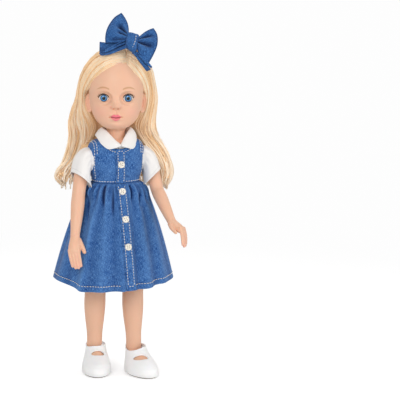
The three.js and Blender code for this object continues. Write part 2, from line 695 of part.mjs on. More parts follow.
// Hair that falls behind the shoulders and beside the upper arms
function makeFallingHair() {
  const topZ = hairEndZ - clearance;
  const endZ = chinZ - hairFall;
  const fall = (share) => lerp(topZ, endZ, share);
  const halfTop = headWidth / 2 + hairThickness * 1.7;
  const rows = [
    { z: endZ, a: halfTop * 0.6, b: 8, y: 25 },
    { z: fall(0.88), a: halfTop * 1.12, b: 13, y: 21 },
    { z: fall(0.72), a: halfTop * 1.3, b: 16, y: 20 },
    { z: fall(0.45), a: halfTop * 1.16, b: 21, y: 17 },
    { z: fall(0.2), a: halfTop * 1.04, b: 24, y: 13 },
    { z: topZ, a: halfTop, b: 29, y: 9 },
  ];
  const frontY = sleeveDiameter / 2 + 3;
  const size = 4 * headWidth;
  const back = [
    boxSolid(size, size, size, 0, frontY - size / 2, fall(0.5)),
    levelLoft(grown(torsoRows, bodiceOuter + 1.2), torsoSides),
    barZ(collarSpread + 1, shoulderZ, neckSeatZ + 12, 0, 0, 24),
    barZ(neckRadius + 3, shoulderZ, topZ + 5, 0, 0, 20),
    boxSolid(chestWidth + 2 * hairThickness, size, size, 0, 0, waistZ + 2 - size / 2),
  ];
  const mass = cut(levelLoft(rows, 28), ...back);
  const lockX = chestWidth / 2 + 6;
  const half = clearance / 2;
  const block = (fromX, toX) => boxSolid(toX - fromX, size, size, (fromX + toX) / 2, 0, fall(0.5));
  add('hair_length_back', common(mass, block(-lockX + half, lockX - half)), hair);
  for (const { name, sign } of sides) {
    const middle = (x, y, share, a, b) => ({ x: sign * x, y, z: fall(share), a, b });
    const inside = lockX + half;
    const curlMiddle = (inside + halfTop) / 2;
    const curlHalf = (halfTop - inside) / 2;
    const curls = [
      middle(curlMiddle + 2, 21, 1, curlHalf + 2, curlDepth * 0.27),
      middle(curlMiddle + 8, 20, 0.85, curlHalf + 9, curlDepth * 0.45),
      middle(curlMiddle + 9, 20, 0.68, curlHalf + 10, curlDepth * 0.5),
      middle(curlMiddle + 4, 20, 0.4, curlHalf + 6, curlDepth * 0.55),
      middle(curlMiddle, 19, 0.2, curlHalf + 2, curlDepth * 0.65),
      middle(curlMiddle, 17, 0, curlHalf, curlDepth * 0.8),
    ];
    const innerSide = sign < 0 ? block(-inside, size) : block(-size, inside);
    const frontX = chestWidth / 2 + 2 * sleeveReach + hairThickness;
    const overSleeve = boxSolid(2 * frontX, size, size, 0, frontY - size / 2, fall(0.5));
    add(`hair_curls_${name}`, cut(levelLoft(curls.reverse(), 20), innerSide, overSleeve), hair);
  }
}

makeFallingHair();

// Bow: flat outlines in a plane that leans back on the crown, u to the left of the doll, v up
const bowCentre = vec(19, -15, skullZ + 11);

function bowPiece(name, outline, { from, thickness, bevel = 0, material = denim }) {
  const shape = new THREE.Shape(outline.map(([u, v]) => new THREE.Vector2(u, v)));
  const plate = new THREE.ExtrudeGeometry(shape, {
    depth: thickness - 2 * bevel,
    bevelEnabled: bevel > 0,
    bevelThickness: bevel,
    bevelSize: -bevel,
    bevelSegments: 1,
  });
  plate.translate(0, 0, from + bevel);
  plate.rotateX(Math.PI / 2 - radians(bowLean));
  plate.translate(bowCentre.x, bowCentre.y, bowCentre.z);
  const underneath = levelLoft(grown(hairRows, clearance), 24);
  add(name, cut(plate, underneath), material, headGroup);
}

const knotHalf = knotWidth / 2;
const knotGap = knotHalf + clearance;
const loop = { from: -1, thickness: loopThickness, bevel: 2 };
const tail = { from: -4.5, thickness: tailThickness };
const clipReach = 15;
bowPiece(
  'bow_knot',
  [
    [-knotHalf, -2],
    [-knotHalf, 9],
    [-3, 11],
    [knotHalf, 10],
    [knotHalf, -4],
    [2, 11 - knotHeight],
    [-2, 11 - knotHeight],
  ],
  { from: -2, thickness: loopThickness + 2, bevel: 1.5 },
);
bowPiece(
  'bow_loop_right',
  [
    [-knotGap, 9],
    [-9, 24],
    [-11, 34],
    [-21, 28],
    [-27, 18],
    [-29, 4],
    [-20, 0],
    [-knotGap, -2],
  ],
  loop,
);
bowPiece(
  'bow_loop_left',
  [
    [knotGap, 5],
    [14, 13],
    [22, 18],
    [27, 9],
    [26, -5],
    [17, -22],
    [knotGap, -5],
  ],
  loop,
);
bowPiece(
  'bow_tail_right',
  [
    [-4, -3],
    [-24, 1],
    [-35.5, 3.5],
    [-36, -11],
    [-32, -14],
    [-19, -9],
    [-4, -9],
  ],
  tail,
);
bowPiece(
  'bow_tail_left',
  [
    [-3.4, -3],
    [5, -2],
    [19, -17],
    [19, -30],
    [13, -30],
    [2, -11],
    [-3.4, -9],
  ],
  tail,
);
bowPiece(
  'bow_clip',
  [
    [-9, -2.5],
    [9, -2.5],
    [9, 2.5],
    [-9, 2.5],
  ],
  { from: tail.from - clearance - clipReach, thickness: clipReach, material: steel },
);

// Arms. Each angle is the way a length of arm points: out from the body, and forward of straight down
const armShapes = {
  right: { upper: [12, 14], fore: [12, 23], palm: [12, 32], fingers: [-2, 17], thumbTurn: 25 },
  left: { upper: [10, 22], fore: [5, 53], palm: [31, 70], fingers: [-10, 17], thumbTurn: 75 },
};

function armPoints({ name, sign }) {
  const shape = armShapes[name];
  const toward = ([out, forward], length) => {
    const down = length * Math.cos(radians(out)) * Math.cos(radians(forward));
    return vec(
      sign * length * Math.sin(radians(out)),
      -length * Math.cos(radians(out)) * Math.sin(radians(forward)),
      -down,
    );
  };
  const shoulder = vec(sign * (shoulderWidth / 2 + runningGap + shoulderInset), 0, shoulderZ);
  const elbow = shoulder.clone().add(toward(shape.upper, upperArmLength));
  const wrist = elbow.clone().add(toward(shape.fore, forearmLength));
  const knuckle = wrist.clone().add(toward(shape.palm, palmLength));
  const tip = knuckle.clone().add(toward(shape.fingers, fingerLength));
  return { shoulder, elbow, wrist, knuckle, tip };
}

function makeArm(side) {
  const { name, sign } = side;
  const { shoulder, elbow, wrist, knuckle, tip } = armPoints(side);
  const faceX = sign * (shoulderWidth / 2 + runningGap);
  const turn = radians(armShapes[name].thumbTurn);
  const thumbWay = vec(-sign * Math.cos(turn), -Math.sin(turn), 0);
  const between = (from, to, share) => from.clone().lerp(to, share);
  const stop = (at, width, thickness = width) => ({ at, a: width / 2, b: thickness / 2, broad: thumbWay });
  const limb = pathLoft(
    [
      stop(between(shoulder, elbow, 0.02), upperArmDiameter * 0.82),
      stop(between(shoulder, elbow, 0.25), upperArmDiameter * 0.88),
      stop(between(shoulder, elbow, 0.65), upperArmDiameter * 0.95),
      stop(elbow, elbowDiameter),
      stop(between(elbow, wrist, 0.3), elbowDiameter * 0.98),
      stop(between(elbow, wrist, 0.7), lerp(elbowDiameter, wristDiameter, 0.6)),
      stop(wrist, wristDiameter, wristDiameter * 0.85),
      stop(between(wrist, knuckle, 0.45), palmWidth * 0.95, wristDiameter * 0.75),
      stop(knuckle, palmWidth, wristDiameter * 0.55),
    ],
    14,
  );
  const along = tip.clone().sub(knuckle).normalize();
  const broad = thumbWay.clone().addScaledVector(along, -thumbWay.dot(along)).normalize();
  const fingers = [0, 1, 2, 3].map((i) => {
    const across = (i - 1.5) * (palmWidth / 4.1);
    const reach = fingerLength * [0.78, 0.96, 1, 0.92][i];
    const root = knuckle.clone().addScaledVector(broad, across).addScaledVector(along, -3);
    const end = knuckle.clone().addScaledVector(broad, across * 0.85).addScaledVector(along, reach);
    return finger(root, end, fingerDiameter / 2, broad);
  });
  const thumbRoot = between(wrist, knuckle, 0.35).addScaledVector(broad, palmWidth * 0.3);
  const thumbEnd = knuckle.clone().addScaledVector(broad, palmWidth * 0.62).addScaledVector(along, 2);
  const topX = shoulder.x - sign * 3;
  const top = new THREE.SphereGeometry(armDiscDiameter / 2, 14, 8).translate(topX, 0, shoulderZ);
  const rim = barX(armDiscDiameter / 2, faceX, topX, 0, shoulderZ, 16);
  const solid = join(limb, top, rim, ...fingers, finger(thumbRoot, thumbEnd, fingerDiameter * 0.6, broad));
  const insideX = faceX - sign * chestWidth;
  const socketFrom = faceX + sign * vinylWall;
  const socketTo = socketFrom + sign * (plugs.arm.thickness + 3 * clearance);
  const tools = [
    barX(chestWidth, insideX, faceX, 0, shoulderZ, 12),
    barX(plugs.arm.flange + clearance, socketFrom, socketTo, 0, shoulderZ, 16),
    barX(holeRadius(plugs.arm), faceX - sign, socketFrom + sign, 0, shoulderZ, 16),
  ];
  add(`${name}_arm`, cut(solid, ...tools), vinyl);
  const pin = flangedPlug(plugs.arm, runningGap);
  pin.rotateZ(-sign * Math.PI / 2).translate(sign * (shoulderWidth / 2), 0, shoulderZ);
  add(`${name}_shoulder_plug`, pin, plug);
}

// Puffed sleeve: round where it turns in the armhole, then a bell that bends down over the arm
function makeSleeve({ name, sign }) {
  const radius = sleeveDiameter / 2;
  const hemRadius = sleeveHem / 2;
  const startX = shoulderWidth / 2 + runningGap;
  const swing = radians(armShapes[name].upper[1]);
  const bend = (share) => {
    const drop = sleeveDrop * share ** 1.6;
    const outX = sleeveStart + sleeveReach * Math.sin((share * Math.PI) / 2);
    return vec(sign * outX, -drop * Math.sin(swing), shoulderZ - drop * Math.cos(swing));
  };
  const tilt = (share) => {
    const angle = radians(52 * share);
    const fall = Math.sin(angle);
    return vec(sign * Math.cos(angle), -fall * Math.sin(swing), -fall * Math.cos(swing));
  };
  const around = 24;
  const folds = 6;
  const rings = (inset) => {
    const ringAt = (at, along, size, fold) => {
      const stop = { at, a: size - inset, b: size - inset, broad: vec(0, 1, 0), along };
      const [points] = pathRings([stop], around);
      return points.map((p, s) => {
        const wave = fold * Math.cos((2 * Math.PI * folds * s) / around);
        return p.clone().addScaledVector(p.clone().sub(at).normalize(), wave);
      });
    };
    const straight = vec(sign, 0, 0);
    return [
      ringAt(vec(sign * startX, 0, shoulderZ), straight, radius, 0),
      ringAt(vec(sign * sleeveStart, 0, shoulderZ), straight, radius, 0),
      ...[0.3, 0.55, 0.8, 1].map((share) => {
        const size = lerp(radius, hemRadius, share) + 2 * Math.sin(share * Math.PI);
        return ringAt(bend(share), tilt(share), size, 0.5 * share);
      }),
    ];
  };
  add(`${name}_sleeve`, sleeveWall(rings(0), rings(cottonThickness)), cotton);
}

for (const side of sides) {
  makeArm(side);
  makeSleeve(side);
}

const neckPin = flangedPlug(plugs.neck, clearance);
add('neck_plug', neckPin.rotateX(Math.PI / 2).translate(0, 0, neckSeatZ), plug);

// Legs stand on level soles: the foot is turned out and set forward or back of the hip
function makeLeg({ name, sign, step }) {
  const hipX = (sign * hipSpacing) / 2;
  const faceX = sign * (crotchWidth / 2 + clearance);
  const out = radians(toeOut);
  const forward = vec(sign * Math.sin(out), -Math.cos(out), 0);
  const ankleZ = shoeHeight + 5;
  const heel = vec(hipX, -step, 0);
  const legRow = (z, diameter, depth = diameter) => ({
    at: vec(hipX, -step * (1 - z / hipZ), z),
    a: diameter / 2,
    b: depth / 2,
    broad: vec(1, 0, 0),
    along: vec(0, 0, 1),
  });
  const kneeZ = hipZ * 0.52;
  // Foot and shoe share one outline: level ovals that grow longer toward the sole
  const footRow = (z, length, width, grow) => {
    const back = ankleDiameter * 0.62;
    const at = heel.clone().addScaledVector(forward, length / 2 - back).setZ(z);
    const broad = vec(Math.cos(out), sign * Math.sin(out), 0);
    return { at, a: width / 2 + grow, b: length / 2 + grow, broad, along: vec(0, 0, 1) };
  };
  const footLength = shoeLength - 2 * (shoeWall + clearance);
  const footWidth = shoeWidth - 2 * (shoeWall + clearance);
  const floorZ = soleThickness + 2 * clearance + shoeWall;
  const footRows = (grow) => [
    footRow(floorZ - grow, footLength * 0.93, footWidth * 0.86, grow),
    footRow(floorZ + 3, footLength, footWidth, grow),
    footRow(lerp(floorZ, shoeHeight, 0.3), footLength * 0.97, footWidth * 0.97, grow),
    footRow(lerp(floorZ, shoeHeight, 0.5), footLength * 0.84, footWidth * 0.86, grow),
    footRow(lerp(floorZ, shoeHeight, 0.72), footLength * 0.62, footWidth * 0.72, grow),
    footRow(shoeHeight, ankleDiameter * 1.34, ankleDiameter * 1.12, grow),
  ];
  const limb = pathLoft(
    [
      ...footRows(0),
      legRow(ankleZ, ankleDiameter, ankleDiameter * 1.05),
      legRow(lerp(ankleZ, kneeZ, 0.35), lerp(ankleDiameter, kneeDiameter, 0.55)),
      legRow(lerp(ankleZ, kneeZ, 0.72), kneeDiameter * 0.97, kneeDiameter * 1.04),
      legRow(kneeZ, kneeDiameter),
      legRow(lerp(kneeZ, hipZ, 0.3), lerp(kneeDiameter, thighDiameter, 0.5)),
      legRow(lerp(kneeZ, hipZ, 0.75), thighDiameter),
      legRow(hipZ, thighDiameter * 0.98),
      legRow(hipZ + thighDiameter * 0.36, thighDiameter * 0.72),
      legRow(hipZ + thighDiameter * 0.5, thighDiameter * 0.3),
    ],
    16,
  );
  const disc = barX(hipDiscDiameter / 2, faceX, hipX, 0, hipZ, 28);
  const innerX = faceX - (sign * hipSpacing) / 2;
  const innerBlock = boxSolid(hipSpacing, hipSpacing, legLength, innerX, 0, hipZ);
  const socketFrom = faceX + sign * vinylWall;
  const socketTo = socketFrom + sign * (plugs.leg.thickness + 3 * clearance);
  const socket = barX(plugs.leg.flange + clearance, socketFrom, socketTo, 0, hipZ, 20);
  const hole = barX(holeRadius(plugs.leg), faceX - sign, socketFrom + sign, 0, hipZ, 20);
  const body = cut(join(limb, disc), innerBlock, socket, hole);
  add(`${name}_leg`, body, vinyl);

  // Shoe upper: a wall round the foot, open at the ankle, with one oval window before the strap
  const outer = pathLoft(footRows(clearance + shoeWall), 16);
  const inner = pathLoft(footRows(clearance), 16);
  const tall = shoeHeight * 3;
  const collarPlane = new THREE.BoxGeometry(tall, tall, tall).translate(0, 0, tall / 2);
  const strapTop = shoeHeight - 2.5;
  collarPlane.rotateX(radians(-4)).translate(0, 0, strapTop);
  const atFoot = (geometry, ahead, z) => {
    geometry.rotateZ(sign * out);
    const at = heel.clone().addScaledVector(forward, ahead);
    return geometry.translate(at.x, at.y, z);
  };
  const windowTop = strapTop - strapWidth;
  const window = new THREE.CylinderGeometry(1, 1, tall, 14).rotateX(Math.PI / 2);
  window.scale(shoeWidth * 0.27, 5.2, 1).rotateX(radians(28));
  const ankleRow = (z) => footRow(z, ankleDiameter * 1.34, ankleDiameter * 1.12, 2 * runningGap);
  const ankleHole = pathLoft([ankleRow(strapTop - 4), ankleRow(tall)], 20);
  const upper = cut(
    outer,
    inner,
    ankleHole,
    atFoot(collarPlane, 0, 0),
    atFoot(window, shoeLength * 0.3, windowTop - 3),
    boxSolid(tall, tall, tall, hipX, 0, floorZ - clearance - shoeWall / 2 - tall / 2),
  );
  add(`${name}_shoe_upper`, upper, shoeVinyl);

  const soleRow = (z, grow) => footRow(z, footLength, footWidth, grow);
  const edge = clearance + shoeWall;
  const rounding = soleThickness / 3;
  const soleRows = [soleRow(0, edge - rounding), soleRow(rounding, edge), soleRow(soleThickness, edge)];
  add(`${name}_shoe_sole`, pathLoft(soleRows, 16), soleRubber);

  const pin = flangedPlug(plugs.leg, runningGap + clearance);
  pin.rotateZ(-sign * Math.PI / 2).translate(sign * (crotchWidth / 2 - runningGap), 0, hipZ);
  add(`${name}_hip_plug`, pin, plug);
}

for (const side of sides) {
  makeLeg(side);
}

// The origin is on the floor, under the middle of the overall box
const overall = new THREE.Box3().setFromObject(doll, true);
const middle = overall.getCenter(vec(0, 0, 0));
doll.position.set(-middle.x, -middle.y, -overall.min.z);

export default doll;
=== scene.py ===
# A dressed vinyl play doll, about 39 cm tall with its bow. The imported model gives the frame,
# and every piece below is worked out in millimetres round the doll's own axis.
import json
import math

import bpy
import numpy as np
from mathutils import Matrix, Vector
from mathutils.bvhtree import BVHTree

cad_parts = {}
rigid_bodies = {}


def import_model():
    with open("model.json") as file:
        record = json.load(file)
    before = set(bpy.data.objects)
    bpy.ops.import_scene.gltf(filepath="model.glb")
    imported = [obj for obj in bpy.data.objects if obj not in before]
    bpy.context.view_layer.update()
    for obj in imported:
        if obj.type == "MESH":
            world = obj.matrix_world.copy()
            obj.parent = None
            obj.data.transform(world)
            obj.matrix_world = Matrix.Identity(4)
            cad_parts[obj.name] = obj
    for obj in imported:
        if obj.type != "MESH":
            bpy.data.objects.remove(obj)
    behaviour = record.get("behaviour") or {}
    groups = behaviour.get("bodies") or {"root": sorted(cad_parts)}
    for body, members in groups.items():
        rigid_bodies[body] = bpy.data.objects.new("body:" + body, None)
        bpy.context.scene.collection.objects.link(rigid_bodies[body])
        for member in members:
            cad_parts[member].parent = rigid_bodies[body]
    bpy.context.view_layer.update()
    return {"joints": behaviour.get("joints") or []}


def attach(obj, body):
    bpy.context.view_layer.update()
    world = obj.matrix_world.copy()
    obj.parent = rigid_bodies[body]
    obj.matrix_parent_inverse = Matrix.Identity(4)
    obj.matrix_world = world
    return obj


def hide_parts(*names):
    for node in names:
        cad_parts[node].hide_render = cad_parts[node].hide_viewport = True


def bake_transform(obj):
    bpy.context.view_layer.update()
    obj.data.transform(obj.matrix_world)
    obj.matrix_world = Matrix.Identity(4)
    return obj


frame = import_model()

neckJoint = next(joint for joint in frame["joints"] if joint["name"] == "neck_turn")
dollAxis = np.array([neckJoint["pos_m"][0], neckJoint["pos_m"][1], 0.0]) * 1000
signs = {"right": -1, "left": 1}  # the doll's own right lies toward -x
headTurn = math.radians(-17)  # the head looks a little to the doll's right


# Small tools

# Points turned about the doll's upright axis.
def turned(points, angle=headTurn):
    c, s = math.cos(angle), math.sin(angle)
    x, y, z = points[..., 0], points[..., 1], points[..., 2]
    return np.stack([x * c - y * s, x * s + y * c, z], axis=-1)


# 0 below low, 1 above high, and 3t^2 - 2t^3 between them.
def smoothstep(value, low, high):
    t = np.clip((value - low) / (high - low), 0, 1)
    return t * t * (3 - 2 * t)


def mix(a, b, t):
    return a + (b - a) * t


# exp(-((value - middle) / width)^2)
def bell(value, middle, width):
    return np.exp(-(((value - middle) / width) ** 2))


# count angles round a whole turn
def wholeTurn(count):
    return np.linspace(0, 2 * math.pi, count + 1)[:-1]


# A smooth curve through the points: Catmull-Rom, the cubic whose slope at each point is half the step
# between its neighbours.
def spline(points, count):
    points = np.asarray(points, float)
    padded = np.concatenate([2 * points[:1] - points[1:2], points, 2 * points[-1:] - points[-2:-1]])
    spot = np.linspace(0, len(points) - 1, count)
    i = np.minimum(spot.astype(int), len(points) - 2)
    t = (spot - i).reshape(-1, *([1] * (points.ndim - 1)))
    p0, p1, p2, p3 = padded[i], padded[i + 1], padded[i + 2], padded[i + 3]
    return (0.5 * (2 * p1 + (p2 - p0) * t + (2 * p0 - 5 * p1 + 4 * p2 - p3) * t**2
            + (3 * p1 - p0 - 3 * p2 + p3) * t**3))


def unit(vectors):
    return vectors / np.maximum(np.linalg.norm(vectors, axis=-1, keepdims=True), 1e-9)


# A mesh from whole arrays, with points in millimetres. uvs has one row for each corner, marks one
# value for each point.
def makeMesh(name, points, quads=None, triangles=None, uvs=None, marks=None, flip=False):
    quads = np.zeros((0, 4), int) if quads is None else np.asarray(quads)
    triangles = np.zeros((0, 3), int) if triangles is None else np.asarray(triangles)
    if flip:
        quads, triangles = quads[:, ::-1], triangles[:, ::-1]
    mesh = bpy.data.meshes.new(name)
    corners = np.concatenate([quads.ravel(), triangles.ravel()])
    starts = np.concatenate([np.arange(len(quads)) * 4, len(quads) * 4 + np.arange(len(triangles)) * 3])
    mesh.vertices.add(len(points))
    mesh.vertices.foreach_set("co", ((points + dollAxis) / 1000).astype(np.float32).ravel())
    mesh.loops.add(len(corners))
    mesh.loops.foreach_set("vertex_index", corners.astype(np.int32))
    mesh.polygons.add(len(starts))
    mesh.polygons.foreach_set("loop_start", starts.astype(np.int32))
    mesh.polygons.foreach_set("use_smooth", np.ones(len(starts), bool))
    if uvs is not None:
        if flip:
            cut = len(quads) * 4
            uvs = np.concatenate([uvs[:cut].reshape(-1, 4, 2)[:, ::-1].reshape(-1, 2),
                    uvs[cut:].reshape(-1, 3, 2)[:, ::-1].reshape(-1, 2)])
        mesh.uv_layers.new(name="UVMap").data.foreach_set("uv", uvs.astype(np.float32).ravel())
    mesh.update(calc_edges=True)
    for mark, values in (marks or {}).items():
        mesh.attributes.new(mark, "FLOAT", "POINT").data.foreach_set("value",
            np.asarray(values, np.float32).ravel())
    piece = bpy.data.objects.new(name, mesh)
    bpy.context.scene.collection.objects.link(piece)
    return piece


# A sheet over a grid of points. wrap joins the last column to the first, and caps closes the first or
# last row with a fan.
def surface(name, points, wrap=False, caps=(), uv=None, marks=None, flip=False):
    rows, cols = points.shape[:2]
    span = cols if wrap else cols - 1
    r, c = (v.ravel() for v in np.meshgrid(np.arange(rows - 1), np.arange(span), indexing="ij"))
    right = (c + 1) % cols
    quads = np.stack([r * cols + c, r * cols + right, (r + 1) * cols + right, (r + 1) * cols + c], axis=1)
    if uv is None:
        closed = np.concatenate([points, points[:, :1]], axis=1) if wrap else points
        across = np.linalg.norm(np.diff(closed, axis=1), axis=2).mean(0)
        down = np.linalg.norm(np.diff(closed, axis=0), axis=2).mean(1)
        u, v = np.concatenate([[0], np.cumsum(across)]), np.concatenate([[0], np.cumsum(down)])
        uv = np.stack(np.meshgrid(u, v), axis=-1)
    corners = np.stack([uv[r, c], uv[r, c + 1], uv[r + 1, c + 1], uv[r + 1, c]], axis=1).reshape(-1, 2)
    flat, fans, fanUv = points.reshape(-1, 3), [], []
    marks = {key: np.asarray(value, float).reshape(-1) for key, value in (marks or {}).items()}
    for cap in caps:
        row = 0 if cap == "first" else rows - 1
        middle, ring = len(flat), np.arange(cols)
        flat = np.concatenate([flat, points[row].mean(0, keepdims=True)])
        marks = {key: np.append(value, value[row * cols:(row + 1) * cols].mean()) for key,
            value in marks.items()}
        a, b = row * cols + ring, row * cols + (ring + 1) % cols
        fans.append(np.stack([np.full(cols, middle), b, a] if row == 0 else [np.full(cols, middle), a, b],
                axis=1))
        spread = uv[row, :cols]
        fanUv.append(np.stack([np.broadcast_to(spread.mean(0), spread.shape), spread, spread],
                axis=1).reshape(-1, 2))
    triangles = np.concatenate(fans) if fans else None
    uvs = np.concatenate([corners, *fanUv]) if fanUv else corners
    return makeMesh(name, flat, quads, triangles, uvs, marks, flip)


# Many closed tubes in one mesh: a ring of points is carried along each path, and shrinks or grows
# with its radius. u runs round, v along, in millimetres.
def tubes(name, paths, radii, sides=3, flatness=1.0, outward=None, marks=None):
    paths = np.asarray(paths, float)
    count, steps = paths.shape[:2]
    radii = np.broadcast_to(np.asarray(radii, float), (count, steps))
    along = unit(np.gradient(paths, axis=1))
    up = np.broadcast_to(np.array([0.31, 0.22, 0.92]) if outward is None else outward, along.shape)
    broad = unit(np.cross(along, up))
    thin = np.cross(broad, along)
    turn = np.arange(sides) / sides * 2 * math.pi
    ring = (broad[:, :, None] * np.cos(turn)[:, None] + thin[:, :, None] * np.sin(turn)[:, None] * flatness)
    points = paths[:, :, None] + ring * radii[:, :, None, None]
    index = np.arange(count * steps * sides).reshape(count, steps, sides)
    after = np.roll(index, -1, axis=2)
    quads = np.stack([index[:, :-1], after[:, :-1], after[:, 1:], index[:, 1:]], axis=-1).reshape(-1, 4)
    ends = count * steps * sides
    heads, tails = ends + np.arange(count), ends + count + np.arange(count)
    spread = lambda middle, a, b: np.stack([np.broadcast_to(middle[:, None], a.shape), a, b],
        axis=-1).reshape(-1, 3)
    triangles = np.concatenate([spread(heads, after[:, 0], index[:, 0]),
            spread(tails, index[:, -1], after[:, -1])])
    flat = np.concatenate([points.reshape(-1, 3), paths[:, 0], paths[:, -1]])
    run = np.concatenate([np.zeros((count, 1)), np.cumsum(np.linalg.norm(np.diff(paths, axis=1), axis=2),
                axis=1)], axis=1)
    u = np.arange(sides + 1) / sides
    uvGrid = np.stack(np.broadcast_arrays(u[None, None], run[:, :, None]), axis=-1)
    uvQuads = np.stack([uvGrid[:, :-1, :-1], uvGrid[:, :-1, 1:], uvGrid[:, 1:, 1:], uvGrid[:, 1:, :-1]],
        axis=3).reshape(-1, 2)
    uvs = np.concatenate([uvQuads, np.zeros((len(triangles) * 3, 2))])
    values = {}
    for key, value in (marks or {}).items():
        value = np.broadcast_to(value, (count, steps))
        values[key] = np.concatenate([np.repeat(value.reshape(-1), sides), value[:, 0], value[:, -1]])
    return makeMesh(name, flat, quads, triangles, uvs, values)


# Applies the piece's modifiers, so that its mesh is final.
def bake(piece):
    graph = bpy.context.evaluated_depsgraph_get()
    graph.update()
    old = piece.data
    piece.data = bpy.data.meshes.new_from_object(piece.evaluated_get(graph))
    piece.modifiers.clear()
    bpy.data.meshes.remove(old)
    piece.data.polygons.foreach_set("use_smooth", np.ones(len(piece.data.polygons), bool))
    return piece


# A number of each vertex, its place or its normal, as one array
def readPoints(mesh, field="co"):
    values = np.zeros(len(mesh.vertices) * 3)
    mesh.vertices.foreach_get(field, values)
    return values.reshape(-1, 3)


# One mesh object from several closed ones, which may overlap.
def joined(name, pieces):
    points, quads, triangles, start = [], [], [], 0
    for piece in pieces:
        mesh = piece.data
        points.append(readPoints(mesh) * 1000 - dollAxis)
        for polygon in mesh.polygons:
            (quads if len(polygon.vertices) == 4 else triangles).append([v
                    + start for v in polygon.vertices])
        start += len(mesh.vertices)
        bpy.data.objects.remove(piece)
    return makeMesh(name, np.concatenate(points), np.array(quads) if quads else None,
        np.array(triangles) if triangles else None)


def modifier(piece, kind, **settings):
    added = piece.modifiers.new(kind.lower(), kind)
    for key, value in settings.items():
        setattr(added, key, value)
    return added


# Cuts the bars out of the piece and makes its mesh final.
def carve(piece, bars):
    for bar in bars:
        modifier(piece, "BOOLEAN", operation="DIFFERENCE", object=bar, solver="EXACT").name = bar.name
    bake(piece)
    for bar in bars:
        bpy.data.objects.remove(bar)


# Gives a piece its material and body, and says which solids it stands for.
def dress(piece, material, body=None, replaces=()):
    piece.data.materials.clear()
    piece.data.materials.append(material)
    if body:
        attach(piece, body)
    if replaces:
        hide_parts(*replaces)
    return piece


# Materials

# An sRGB hex value as the linear colour that a socket takes.
def linearColour(code):
    channels = [int(code[i:i + 2], 16) / 255 for i in (1, 3, 5)]
    return (*[c / 12.92 if c <= 0.04045 else ((c + 0.055) / 1.055) ** 2.4 for c in channels], 1.0)


# Adds a node with its settings, values and links.
def addNode(tree, kind, inputs=None, links=None, **settings):
    node = tree.nodes.new("ShaderNode" + kind)
    for key, value in settings.items():
        setattr(node, key, value)
    for key, value in (inputs or {}).items():
        node.inputs[key].default_value = value
    for key, source in (links or {}).items():
        tree.links.new(source, node.inputs[key])
    return node


# A material with a Principled shader, whose plain values stand on its own sockets.
def newMaterial(name, **values):
    material = bpy.data.materials.new(name)
    material.use_nodes = True
    tree = material.node_tree
    shader = tree.nodes["Principled BSDF"]
    for key, value in values.items():
        shader.inputs[key].default_value = value
    return material, tree, shader


# Mixes two colours, each an output or a hex value, by a factor that is an output or a number.
def blendColour(tree, factor, a, b):
    node = addNode(tree, "Mix", data_type="RGBA")
    for slot, value in ((0, factor), (6, a), (7, b)):
        if isinstance(value, str):
            node.inputs[slot].default_value = linearColour(value)
        elif isinstance(value, (int, float)):
            node.inputs[slot].default_value = value
        else:
            tree.links.new(value, node.inputs[slot])
    return node.outputs[2]


# A colour ramp with stops of (place, hex value).
def ramp(tree, source, stops):
    node = addNode(tree, "ValToRGB", links={0: source})
    elements = node.color_ramp.elements
    while len(elements) < len(stops):
        elements.new(0.5)
    for element, (place, code) in zip(elements, stops):
        element.position, element.color = place, linearColour(code)
    return node.outputs[0]


def mark(tree, name):
    return addNode(tree, "Attribute", attribute_name=name).outputs["Fac"]


skinTones = {"base": "#e9bc9f", "warm": "#e6a98a", "blush": "#f5ae9f", "lip": "#ef7788",
    "lipDark": "#962a3c", "brow": "#bd8759", "lid": "#5a3424", "nostril": "#d08458"}


# Rotocast vinyl: soft, slightly see-through skin colour with a satin skin and faint mould texture,
# sprayed paint on top.
def makeVinyl():
    material, tree, shader = newMaterial("skinVinyl",
        **{"Roughness": 0.46, "IOR": 1.5, "Subsurface Weight": 0.12, "Subsurface Radius": (1.0, 0.35, 0.2),
            "Subsurface Scale": 0.004, "Specular IOR Level": 0.38})
    place = addNode(tree, "TexCoord").outputs["Object"]
    # 26 mm clouds of tone
    cloud = addNode(tree, "TexNoise", {"Scale": 38.0, "Detail": 3.0}, {"Vector": place})
    tone = blendColour(tree, addNode(tree, "Math", {1: 0.35}, {0: cloud.outputs[0]},
            operation="MULTIPLY").outputs[0], skinTones["base"], skinTones["warm"])
    for name in ("blush", "lid", "nostril", "brow"):
        tone = blendColour(tree, mark(tree, name), tone, skinTones[name])
    lips = blendColour(tree, mark(tree, "lipLine"), skinTones["lip"], skinTones["lipDark"])
    tone = blendColour(tree, mark(tree, "lip"), tone, lips)
    tree.links.new(tone, shader.inputs["Base Color"])
    # 0.7 mm mould grain
    grain = addNode(tree, "TexNoise", {"Scale": 1400.0, "Detail": 2.0}, {"Vector": place})
    bump = addNode(tree, "Bump", {"Strength": 0.05, "Distance": 0.0004}, {"Height": grain.outputs[0]})
    tree.links.new(bump.outputs[0], shader.inputs["Normal"])
    gloss = addNode(tree, "MapRange", {1: 0.0, 2: 1.0, 3: 0.47, 4: 0.28}, {0: mark(tree, "lip")})
    tree.links.new(gloss.outputs[0], shader.inputs["Roughness"])
    return material


